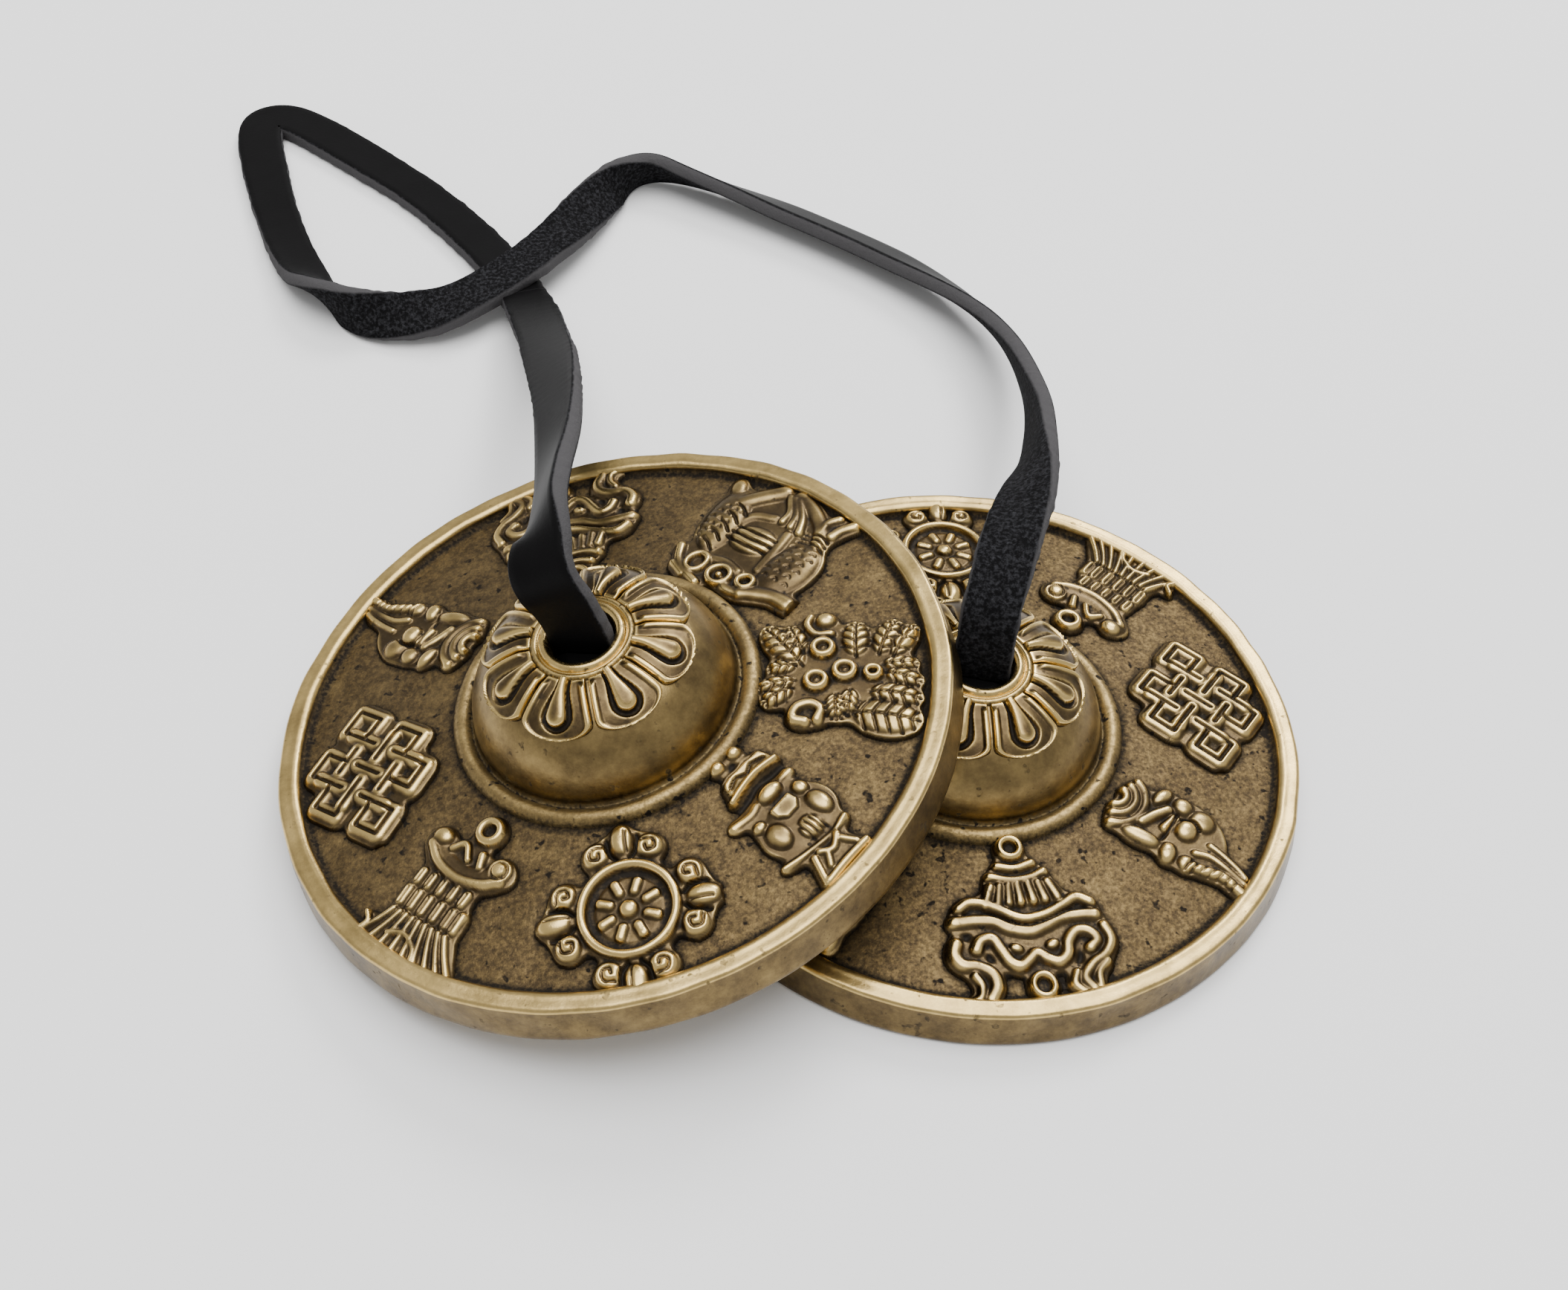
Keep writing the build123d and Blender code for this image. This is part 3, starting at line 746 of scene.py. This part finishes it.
def petal_ring_nodes():
    """Geometry nodes that repeat a petal evenly round the Z axis."""
    tree = bpy.data.node_groups.new("petal_ring", "GeometryNodeTree")
    tree.interface.new_socket("Geometry", in_out="INPUT", socket_type="NodeSocketGeometry")
    count = tree.interface.new_socket("Petals", in_out="INPUT", socket_type="NodeSocketInt")
    start = tree.interface.new_socket("Start", in_out="INPUT", socket_type="NodeSocketFloat")
    material = tree.interface.new_socket("Material", in_out="INPUT", socket_type="NodeSocketMaterial")
    tree.interface.new_socket("Geometry", in_out="OUTPUT", socket_type="NodeSocketGeometry")
    nodes, links = tree.nodes, tree.links
    inputs, output = nodes.new("NodeGroupInput"), nodes.new("NodeGroupOutput")
    points = nodes.new("GeometryNodePoints")
    place = nodes.new("GeometryNodeInstanceOnPoints")
    index = nodes.new("GeometryNodeInputIndex")
    share = nodes.new("ShaderNodeMath")
    share.operation = "DIVIDE"
    turn = nodes.new("ShaderNodeMath")
    turn.operation = "MULTIPLY_ADD"
    turn.inputs[1].default_value = math.tau
    euler = nodes.new("ShaderNodeCombineXYZ")
    real = nodes.new("GeometryNodeRealizeInstances")
    paint = nodes.new("GeometryNodeSetMaterial")
    for source, target in (
        (inputs.outputs["Petals"], points.inputs["Count"]),
        (index.outputs["Index"], share.inputs[0]),
        (inputs.outputs["Petals"], share.inputs[1]),
        (share.outputs[0], turn.inputs[0]),
        (inputs.outputs["Start"], turn.inputs[2]),
        (turn.outputs[0], euler.inputs["Z"]),
        (points.outputs[0], place.inputs["Points"]),
        (inputs.outputs["Geometry"], place.inputs["Instance"]),
        (euler.outputs[0], place.inputs["Rotation"]),
        (place.outputs[0], real.inputs[0]),
        (real.outputs[0], paint.inputs["Geometry"]),
        (inputs.outputs["Material"], paint.inputs["Material"]),
        (paint.outputs[0], output.inputs[0]),
    ):
        links.new(source, target)
    return tree, {"Petals": count.identifier, "Start": start.identifier, "Material": material.identifier}


def baked(obj, name):
    """A plain mesh object from what obj's modifiers make, with obj removed."""
    depsgraph = bpy.context.evaluated_depsgraph_get()
    mesh = bpy.data.meshes.new_from_object(obj.evaluated_get(depsgraph))
    mesh.name = name
    done = bpy.data.objects.new(name, mesh)
    bpy.context.scene.collection.objects.link(done)
    bpy.data.objects.remove(obj, do_unlink=True)
    return done


# ---------------------------------------------------------------- materials

def shader(name):
    """A new material with its shader, and short ways to add and join nodes."""
    material = bpy.data.materials.new(name)
    material.use_nodes = True
    tree = material.node_tree
    main = tree.nodes["Principled BSDF"]

    def add(kind, **values):
        node = tree.nodes.new(kind)
        for key, value in values.items():
            if key in node.bl_rna.properties:
                setattr(node, key, value)
            else:
                node.inputs[key].default_value = value
        return node

    return material, main, add, tree.links.new


def mix_colour(add, link, factor, first, second):
    """A colour mix: first and second are sockets or plain colours, factor is a socket."""
    node = add("ShaderNodeMix", data_type="RGBA")
    link(factor, node.inputs[0])
    for socket, value in ((node.inputs[6], first), (node.inputs[7], second)):
        if isinstance(value, bpy.types.NodeSocket):
            link(value, socket)
        else:
            socket.default_value = (*value, 1)
    return node.outputs[2]


def ramp(add, link, source, low, high, out_low=0.0, out_high=1.0):
    """A source mapped from one range to another and held inside it."""
    node = add("ShaderNodeMapRange")
    link(source, node.inputs["Value"])
    node.inputs["From Min"].default_value = low
    node.inputs["From Max"].default_value = high
    node.inputs["To Min"].default_value = out_low
    node.inputs["To Max"].default_value = out_high
    return node.outputs["Result"]


def maths(add, link, operation, first, second):
    """One maths node; first and second are sockets or plain numbers."""
    node = add("ShaderNodeMath", operation=operation)
    for k, value in enumerate((first, second)):
        if isinstance(value, bpy.types.NodeSocket):
            link(value, node.inputs[k])
        else:
            node.inputs[k].default_value = value
    return node.outputs[0]


def brass_material(settings):
    """Cast brass: rubbed bright on high points, partly a painted highlight, brown in the plates, nearly black
    in the hollows, and darkened by painted shadow round the emblems.
    """
    material, main, add, link = shader("antique_brass")
    coords = add("ShaderNodeTexCoord").outputs["Object"]
    cavity = add("ShaderNodeAttribute", attribute_name="cavity").outputs["Fac"]
    wear_and_highlight = add("ShaderNodeAttribute", attribute_name="wear_and_highlight").outputs["Fac"]
    grain = add("ShaderNodeAttribute", attribute_name="grain").outputs["Fac"]
    cloud = add("ShaderNodeTexNoise", Scale=260.0, Detail=9.0, Roughness=0.72)
    fine = add("ShaderNodeTexNoise", Scale=2600.0, Detail=3.0, Roughness=0.6)
    sand = add("ShaderNodeTexNoise", Scale=1500.0, Detail=4.0, Roughness=0.75)
    for node in (cloud, fine, sand):
        link(coords, node.inputs["Vector"])
    cloudy = ramp(add, link, cloud.outputs["Fac"], 0.30, 0.72)
    sandy = ramp(add, link, sand.outputs["Fac"], 0.42, 0.66)
    patina = mix_colour(add, link, cloudy, settings.patina_dark[:3], settings.patina_light[:3])
    sparkle = maths(add, link, "MULTIPLY", sandy, maths(add, link, "MULTIPLY", grain, 0.55))
    patina = mix_colour(add, link, sparkle, patina, settings.brass_dull[:3])
    # High points are painted brighter here: rubbed brass together with a painted highlight
    glint = maths(add, link, "ADD", maths(add, link, "MULTIPLY", cloudy, 0.5), wear_and_highlight)
    glint = ramp(add, link, glint, 0.1, 1.0)
    bright = mix_colour(add, link, glint, settings.brass_dull[:3], settings.brass_bright[:3])
    rubbed_and_lit = maths(add, link, "MULTIPLY_ADD", cloudy, 0.25)
    link(wear_and_highlight, rubbed_and_lit.node.inputs[2])
    metal = mix_colour(add, link, ramp(add, link, rubbed_and_lit, 0.1, 0.75), patina, bright)
    speckle = ramp(add, link, fine.outputs["Fac"], 0.35, 0.65, -0.18, 0.18)
    shade = maths(add, link, "MULTIPLY_ADD", speckle, 1.0)
    link(cavity, shade.node.inputs[2])
    pits = add("ShaderNodeTexNoise", Scale=850.0, Detail=2.0, Roughness=0.5)
    link(coords, pits.inputs["Vector"])
    pitted = maths(add, link, "MULTIPLY", ramp(add, link, pits.outputs["Fac"], 0.64, 0.70), 0.55)
    deep = ramp(add, link, maths(add, link, "ADD", shade, pitted), 0.25, 0.95)
    link(mix_colour(add, link, deep, metal, settings.recess[:3]), main.inputs["Base Color"])
    link(ramp(add, link, deep, 0.0, 1.0, 1.0, 0.5), main.inputs["Metallic"])
    rough = maths(add, link, "MULTIPLY_ADD", grain, 0.2)
    link(ramp(add, link, wear_and_highlight, 0.0, 1.0, 0.31, 0.2), rough.node.inputs[2])
    main.inputs["Specular IOR Level"].default_value = 0.2
    dull = maths(add, link, "MULTIPLY_ADD", deep, 0.3)
    link(rough, dull.node.inputs[2])
    link(dull, main.inputs["Roughness"])
    sanding = add("ShaderNodeBump", Distance=0.00012)
    strength = maths(add, link, "MULTIPLY_ADD", grain, 0.55)
    strength.node.inputs[2].default_value = 0.04
    link(strength, sanding.inputs["Strength"])
    link(sand.outputs["Fac"], sanding.inputs["Height"])
    dents = add("ShaderNodeBump", Distance=0.0002, Strength=0.22)
    link(cloud.outputs["Fac"], dents.inputs["Height"])
    link(sanding.outputs[0], dents.inputs["Normal"])
    link(dents.outputs[0], main.inputs["Normal"])
    return material


def leather_material(settings):
    """Black leather: a smooth face, a napped face and paler cut edges."""
    material, main, add, link = shader("thong_leather")
    coords = add("ShaderNodeTexCoord").outputs["Object"]
    suede = add("ShaderNodeAttribute", attribute_name="suede").outputs["Fac"]
    pores = add("ShaderNodeTexNoise", Scale=2200.0, Detail=4.0, Roughness=0.7)
    patches = add("ShaderNodeTexNoise", Scale=260.0, Detail=4.0, Roughness=0.6)
    for node in (pores, patches):
        link(coords, node.inputs["Vector"])
    speckle = ramp(add, link, pores.outputs["Fac"], 0.45, 0.75)
    napped = mix_colour(add, link, speckle, settings.suede[:3], settings.nap[:3])
    smooth = mix_colour(add, link, patches.outputs["Fac"], settings.leather[:3], settings.leather_light[:3])
    edge = ramp(add, link, suede, 1.0, 2.0)
    face = mix_colour(add, link, ramp(add, link, suede, 0.2, 0.8), smooth, napped)
    link(mix_colour(add, link, edge, face, settings.cut_edge[:3]), main.inputs["Base Color"])
    link(ramp(add, link, suede, 0.0, 1.0, 0.48, 0.95), main.inputs["Roughness"])
    main.inputs["Specular IOR Level"].default_value = 0.05
    bump = add("ShaderNodeBump", Distance=0.00025)
    link(ramp(add, link, suede, 0.0, 1.0, 0.12, 0.75), bump.inputs["Strength"])
    link(pores.outputs["Fac"], bump.inputs["Height"])
    link(bump.outputs[0], main.inputs["Normal"])
    return material


# ---------------------------------------------------------------- thong

def seat_point(seat, height):
    """A point on a cymbal's axis, in millimetres."""
    return Vector(seat @ Vector((0, 0, height * MM))) / MM


def thong_route():
    """The spline's control points in millimetres, each with the way that the smooth face looks there."""
    up, down = (0, 0, 1), (0, 0, -1)
    turned = (-0.3, -0.95, 0)
    behind = (0.3, 0.95, 0)
    return [
        (seat_point(UPPER_SEAT, 13.2), turned), (seat_point(UPPER_SEAT, 18.4), turned),
        ((-26.1, -0.6, 31.9), (-0.33, -0.63, 0.72)), ((-24.9, 5.5, 33.9), (-0.88, -0.37, 0.43)),
        ((-23.6, 20.7, 28.2), (-0.55, -0.57, 0.66)), ((-23.9, 42.3, 19.4), (-0.33, -0.3, 0.9)),
        ((-27.3, 75.6, 2.2), up), ((-32.2, 87.8, 1.05), up), ((-41.0, 101.0, 1.05), up),
        ((-50.7, 111.3, 1.05), up), ((-57.4, 118.1, 1.05), up), ((-62.5, 122.1, 1.05), up),
        ((-65.9, 120.7, 1.05), up), ((-65.7, 115.6, 1.05), up), ((-64.3, 108.3, 1.05), up),
        ((-61.7, 96.8, 1.1), up), ((-57.8, 84.6, 1.6), (0.2, 0.25, 0.95)),
        ((-52.2, 74.9, 3.3), (0.45, 0.9, 0)), ((-44.2, 73.2, 2.6), (0, 0.55, -0.83)),
        ((-35.9, 74.6, 3.7), down), ((-25.0, 84.7, 4.3), down), ((-18.2, 96.9, 3.0), (-0.35, 0.5, -0.8)),
        ((-13.7, 103.0, 3.2), (0, 0.98, 0.1)), ((-9.4, 104.8, 3.2), (0.2, 0.85, 0.5)),
        ((-4.2, 102.4, 3.0), (0.35, 0.6, 0.7)), ((8.7, 93.5, 2.6), (0.28, 0.38, 0.88)),
        ((22.8, 81.9, 2.6), (0.28, 0.38, 0.88)), ((32.2, 68.8, 4.0), (0.66, 0.24, 0.65)),
        ((33.9, 53.3, 8.2), (0.95, 0.1, 0.3)), ((30.9, 34.0, 16.0), (0.9, 0.35, -0.35)),
        ((25.9, 18.3, 23.2), (0.58, 0.56, -0.65)), ((21.2, 7.5, 25.1), (0.4, 0.7, -0.6)),
        ((18.3, 0.8, 22.6), behind), (seat_point(LOWER_SEAT, 18.4), behind),
        (seat_point(LOWER_SEAT, 13.2), behind),
    ]


def spline_points(route):
    """Points in millimetres on one order-3 spline that ends at the route's own ends."""
    curve = bpy.data.curves.new("thong_line", "CURVE")
    curve.dimensions = "3D"
    curve.resolution_u = 14
    spline = curve.splines.new("NURBS")
    spline.points.add(len(route) - 1)
    for point, (place, facing) in zip(spline.points, route):
        point.co = (*(Vector(place) * MM), 1)
    spline.order_u = 3
    spline.use_endpoint_u = True
    holder = bpy.data.objects.new("thong_line", curve)
    bpy.context.scene.collection.objects.link(holder)
    bpy.context.view_layer.update()
    depsgraph = bpy.context.evaluated_depsgraph_get()
    mesh = bpy.data.meshes.new_from_object(holder.evaluated_get(depsgraph))
    points = np.array([vertex.co for vertex in mesh.vertices]) / MM
    bpy.data.objects.remove(holder, do_unlink=True)
    bpy.data.meshes.remove(mesh)
    return points


def evenly(points, step):
    """The same line with points a step apart."""
    run = np.concatenate([[0], np.cumsum(np.linalg.norm(np.diff(points, axis=0), axis=1))])
    count = int(run[-1] / step)
    at = np.linspace(0, run[-1], count + 1)
    return np.stack([np.interp(at, run, points[:, k]) for k in range(3)], 1)


def unit(vectors):
    """The same directions, one long."""
    return vectors / np.linalg.norm(vectors, axis=-1, keepdims=True)


def ribbon(points, route, width, thickness):
    """The cross-sections of a flat strip along points, what each of a section's points is on, and the
    strip's middle line. Its smooth face looks where the route says."""
    tangent = unit(np.gradient(points, axis=0))
    places = np.array([tuple(place) for place, facing in route], float)
    facings = unit(np.array([facing for place, facing in route], float))
    # Each control point acts where the line passes nearest to it
    nearest = [0]
    for place in places[1:]:
        window = points[nearest[-1]:nearest[-1] + 120]
        nearest.append(nearest[-1] + max(1, int(np.argmin(np.linalg.norm(window - place, axis=1)))))
    nearest[-1] = len(points) - 1
    normal = np.stack([np.interp(np.arange(len(points)), nearest, facings[:, k]) for k in range(3)], 1)
    kernel = np.hanning(25)
    kernel /= kernel.sum()
    padded = np.pad(normal, ((12, 12), (0, 0)), mode="edge")
    normal = np.stack([np.convolve(padded[:, k], kernel, "valid") for k in range(3)], 1)
    normal = unit(normal - (normal * tangent).sum(1, keepdims=True) * tangent)
    across = np.cross(normal, tangent)
    half_t, flat = thickness / 2, width / 2 - STRIP_CORNER
    section, zone = [], []
    for side, face in ((1, SMOOTH_FACE), (-1, SUEDE_FACE)):
        for k in range(FACE_POINTS):
            section.append((side * (-flat + 2 * flat * k / (FACE_POINTS - 1)), side * half_t))
            zone.append(face)
        for k in range(1, EDGE_POINTS):
            a = math.pi / 2 - math.pi * k / EDGE_POINTS
            section.append((side * (flat + STRIP_CORNER * math.cos(a)), side * half_t * math.sin(a)))
            zone.append(CUT_EDGE)
    section = np.array(section)
    zone = np.array(zone)
    rng = np.random.default_rng(7)
    n, m = len(points), len(section)
    ragged = np.convolve(rng.normal(0, 1, n + 6), np.hanning(7) / 3.5, "valid")[:n]
    ragged_b = np.convolve(rng.normal(0, 1, n + 6), np.hanning(7) / 3.5, "valid")[:n]
    swell = 1 + 0.03 * np.sin(np.arange(n) * 0.031 + 1.0) + 0.02 * np.sin(np.arange(n) * 0.083)
    verts = np.zeros((n, m, 3))
    for k, (w, t) in enumerate(section):
        offset = w * swell
        if zone[k] == CUT_EDGE:
            offset = offset + np.sign(w) * 0.12 * (ragged if w > 0 else ragged_b)
        verts[:, k] = points + across * offset[:, None] + normal * t
    # No part of the strip goes below the surface that it lies on
    needed = np.maximum(SURFACE_GAP - verts[:, :, 2].min(1), 0)
    lift = np.convolve(np.pad(needed, 30, mode="edge"), np.hanning(61) / 30, "valid")
    lift = np.maximum(lift, needed)
    verts[:, :, 2] += lift[:, None]
    middle = points + np.array((0, 0, 1.0)) * lift[:, None]
    return verts, zone, middle


def strip_mesh(name, sections, zone):
    """One closed piece of the thong from its cross-sections, with a flat cap at each end."""
    n, m = sections.shape[:2]
    a = np.arange(n - 1)[:, None] * m
    b = a + m
    s0 = np.arange(m)[None, :]
    s1 = (np.arange(m) + 1)[None, :] % m
    faces = np.stack([a + s0, a + s1, b + s1, b + s0], -1).reshape(-1, 4).tolist()
    faces.append(list(range(m))[::-1])
    faces.append([(n - 1) * m + k for k in range(m)])
    obj = new_mesh(name, sections.reshape(-1, 3), faces)
    put_attribute(obj, "suede", np.tile(zone, n))
    obj.data.materials.append(leather())
    return obj


# ---------------------------------------------------------------- settings

def colour_property(name, text, default):
    """A colour that the user may change."""
    return bpy.props.FloatVectorProperty(name=name, description=text, subtype="COLOR", size=4, min=0, max=1,
                                         default=(*default, 1.0))


class BrassSettings(bpy.types.PropertyGroup):
    """The look of the castings."""

    # Bright brass is also the colour of the painted highlights on crests and rims
    brass_bright: colour_property("Bright brass", "Rubbed high points", (0.66, 0.475, 0.18))
    brass_dull: colour_property("Dull brass", "Brass between high points and patina", (0.225, 0.152, 0.062))
    patina_light: colour_property("Light patina", "The plates between the emblems", (0.098, 0.068, 0.034))
    patina_dark: colour_property("Dark patina", "Clouds in the patina", (0.052, 0.036, 0.019))
    # The recess colour also paints the shadow round each emblem's foot, besides the patina in the hollows
    recess: colour_property("Recess", "What has gathered in the hollows", (0.012, 0.009, 0.006))


class ThongSettings(bpy.types.PropertyGroup):
    """The leather strip."""

    width: bpy.props.FloatProperty(name="Width", description="Width of the strip", default=0.0063,
                                   min=0.004, max=0.0066, unit="LENGTH", subtype="DISTANCE")
    thickness: bpy.props.FloatProperty(name="Thickness", description="Thickness of the strip", default=0.0019,
                                       min=0.001, max=0.0025, unit="LENGTH", subtype="DISTANCE")
    leather: colour_property("Leather", "The smooth face", (0.0028, 0.0026, 0.0027))
    leather_light: colour_property("Leather, light", "Clouds in the smooth face", (0.0048, 0.0046, 0.0049))
    suede: colour_property("Suede", "The rough face", (0.0046, 0.0045, 0.0048))
    nap: colour_property("Nap", "Pale flecks in the rough face", (0.036, 0.036, 0.040))
    cut_edge: colour_property("Cut edge", "The strip's sides", (0.060, 0.058, 0.060))


class StudioSettings(bpy.types.PropertyGroup):
    """Floor and light."""

    floor: colour_property("Floor", "The floor's colour", (0.90, 0.90, 0.90))
    brightness: bpy.props.FloatProperty(name="Brightness", description="Strength of the light from all round",
                                        default=0.7, min=0.0, max=5.0, subtype="FACTOR")
    top_power: bpy.props.FloatProperty(name="Top light", description="Power of the wide soft light overhead",
                                       default=24.0, min=0.0, max=200.0, unit="POWER")
    back_power: bpy.props.FloatProperty(name="Back light", description="Power of the light behind",
                                        default=8.0, min=0.0, max=200.0, unit="POWER")


# ---------------------------------------------------------------- operators

def material_once(name, make, settings):
    """The material of that name, made the first time."""
    return bpy.data.materials.get(name) or make(settings)


def brass():
    """The castings' material."""
    return material_once("antique_brass", brass_material, bpy.context.scene.cymbal_brass)


def leather():
    """The thong's material."""
    return material_once("thong_leather", leather_material, bpy.context.scene.cymbal_thong)


class CYMBAL_OT_castings(bpy.types.Operator):
    """Builds the two castings: dome, plate, rim bead and hollow"""

    bl_idname = "cymbal.castings"
    bl_label = "Build castings"

    def execute(self, context):
        for seed, (node, seat) in enumerate(SEATS.items()):
            obj = casting_mesh(node.replace("cymbal", "casting"), seat, 11 + seed)
            obj.data.materials.append(brass())
            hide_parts(node)
            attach(obj, node)
        return {"FINISHED"}


class CYMBAL_OT_emblems(bpy.types.Operator):
    """Builds the eight cast emblems on each plate"""

    bl_idname = "cymbal.emblems"
    bl_label = "Build emblems"

    def execute(self, context):
        for node, seat in SEATS.items():
            for name, draw, azimuth, radius in EMBLEMS:
                obj = emblem_mesh(f"{node.split('_')[0]}_{name}", drawings()[name], azimuth, radius, seat)
                obj.data.materials.append(brass())
                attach(obj, node)
        return {"FINISHED"}


class CYMBAL_OT_collars(bpy.types.Operator):
    """Builds the collar of petals round each dome's hole"""

    bl_idname = "cymbal.collars"
    bl_label = "Build collars"

    def execute(self, context):
        tree, sockets = petal_ring_nodes()
        for node, seat in SEATS.items():
            petal = petal_mesh("petal")
            modifier = petal.modifiers.new("ring", "NODES")
            modifier.node_group = tree
            modifier[sockets["Petals"]] = PETALS
            modifier[sockets["Start"]] = PETAL_START
            modifier[sockets["Material"]] = brass()
            bpy.context.view_layer.update()
            collar = baked(petal, node.split("_")[0] + "_collar")
            collar.data.transform(seat)
            if not collar.data.materials:
                collar.data.materials.append(brass())
            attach(collar, node)
        return {"FINISHED"}


class CYMBAL_OT_thong(bpy.types.Operator):
    """Builds the leather thong as a flat strip in two pieces and gives the knots its leather"""

    bl_idname = "cymbal.thong"
    bl_label = "Build thong"

    def execute(self, context):
        settings = context.scene.cymbal_thong
        route = thong_route()
        points = evenly(spline_points(route), SECTION_GAP)
        sections, zone, middle = ribbon(points, route, settings.width / MM, settings.thickness / MM)
        cut = int(np.argmax(middle[:, 1] > THONG_JOIN))
        short = strip_mesh("thong_short_strip", sections[:cut + 1], zone)
        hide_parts("thong_short_run")
        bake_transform(short)
        long = strip_mesh("thong_long_strip", sections[cut:], zone)
        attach(long, "thong")
        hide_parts("thong_long_run")
        for name in ("lower_knot", "upper_knot"):
            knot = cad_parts[name]
            knot.data.materials.clear()
            knot.data.materials.append(leather())
        return {"FINISHED"}


class CYMBAL_OT_studio(bpy.types.Operator):
    """Builds the floor, the lights and the camera"""

    bl_idname = "cymbal.studio"
    bl_label = "Build studio"

    def execute(self, context):
        settings = context.scene.cymbal_studio
        camera_data = bpy.data.cameras.new("camera")
        camera_data.sensor_width = 36.0
        camera_data.lens = CAMERA_LENS
        camera_data.clip_start = 0.01
        camera_data.clip_end = 20
        camera = bpy.data.objects.new("camera", camera_data)
        camera.location = CAMERA_PLACE
        aim = Matrix.Rotation(-CAMERA_AZIMUTH, 4, "Z") @ Matrix.Rotation(math.pi / 2 - CAMERA_DOWN, 4, "X")
        camera.rotation_euler = (aim @ Matrix.Rotation(CAMERA_ROLL, 4, "Z")).to_euler()
        context.scene.collection.objects.link(camera)
        context.scene.camera = camera
        reach = 4000.0
        corners = [(-reach, -reach, 0), (reach, -reach, 0), (reach, reach, 0), (-reach, reach, 0)]
        floor = new_mesh("floor", corners, [(0, 1, 2, 3)], smooth=False)
        material, main, add, link = shader("floor")
        main.inputs["Base Color"].default_value = settings.floor
        main.inputs["Roughness"].default_value = 0.9
        main.inputs["Specular IOR Level"].default_value = 0.0
        floor.data.materials.append(material)
        world = bpy.data.worlds.new("studio")
        world.use_nodes = True
        background = world.node_tree.nodes["Background"]
        background.inputs["Color"].default_value = (1, 1, 1, 1)
        background.inputs["Strength"].default_value = settings.brightness
        context.scene.world = world
        for name, place, aim, width, power in (
            ("top", (0.0, 0.1, 1.3), (0, 0, 0), 1.4, settings.top_power),
            ("back", (0.45, 0.75, 0.8), (0, 0, 0), 0.45, settings.back_power),
        ):
            data = bpy.data.lights.new(name, "AREA")
            data.shape = "DISK"
            data.size = width
            data.energy = power
            light = bpy.data.objects.new(name, data)
            light.location = place
            light.rotation_euler = (Vector(aim) - Vector(place)).to_track_quat("-Z", "Y").to_euler()
            context.scene.collection.objects.link(light)
        return {"FINISHED"}


class CYMBAL_PT_panel(bpy.types.Panel):
    """The cymbals' settings and builders"""

    bl_idname = "CYMBAL_PT_panel"
    bl_label = "Hand cymbals"
    bl_space_type = "VIEW_3D"
    bl_region_type = "UI"
    bl_category = "Cymbals"

    def draw(self, context):
        scene = context.scene
        for group in (scene.cymbal_brass, scene.cymbal_thong, scene.cymbal_studio):
            box = self.layout.box()
            for key in group.__annotations__:
                box.prop(group, key)
        for operator in OPERATORS:
            self.layout.operator(operator.bl_idname)


GROUPS = (BrassSettings, ThongSettings, StudioSettings)
OPERATORS = (CYMBAL_OT_studio, CYMBAL_OT_castings, CYMBAL_OT_emblems, CYMBAL_OT_collars, CYMBAL_OT_thong)


def register():
    for item in GROUPS + OPERATORS + (CYMBAL_PT_panel,):
        bpy.utils.register_class(item)
    bpy.types.Scene.cymbal_brass = bpy.props.PointerProperty(type=BrassSettings)
    bpy.types.Scene.cymbal_thong = bpy.props.PointerProperty(type=ThongSettings)
    bpy.types.Scene.cymbal_studio = bpy.props.PointerProperty(type=StudioSettings)


def unregister():
    del bpy.types.Scene.cymbal_studio
    del bpy.types.Scene.cymbal_thong
    del bpy.types.Scene.cymbal_brass
    for item in reversed(GROUPS + OPERATORS + (CYMBAL_PT_panel,)):
        bpy.utils.unregister_class(item)


def main():
    register()
    bpy.ops.cymbal.studio()
    bpy.ops.cymbal.castings()
    bpy.ops.cymbal.emblems()
    bpy.ops.cymbal.collars()
    bpy.ops.cymbal.thong()
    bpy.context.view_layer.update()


if __name__ == "__main__":
    main()
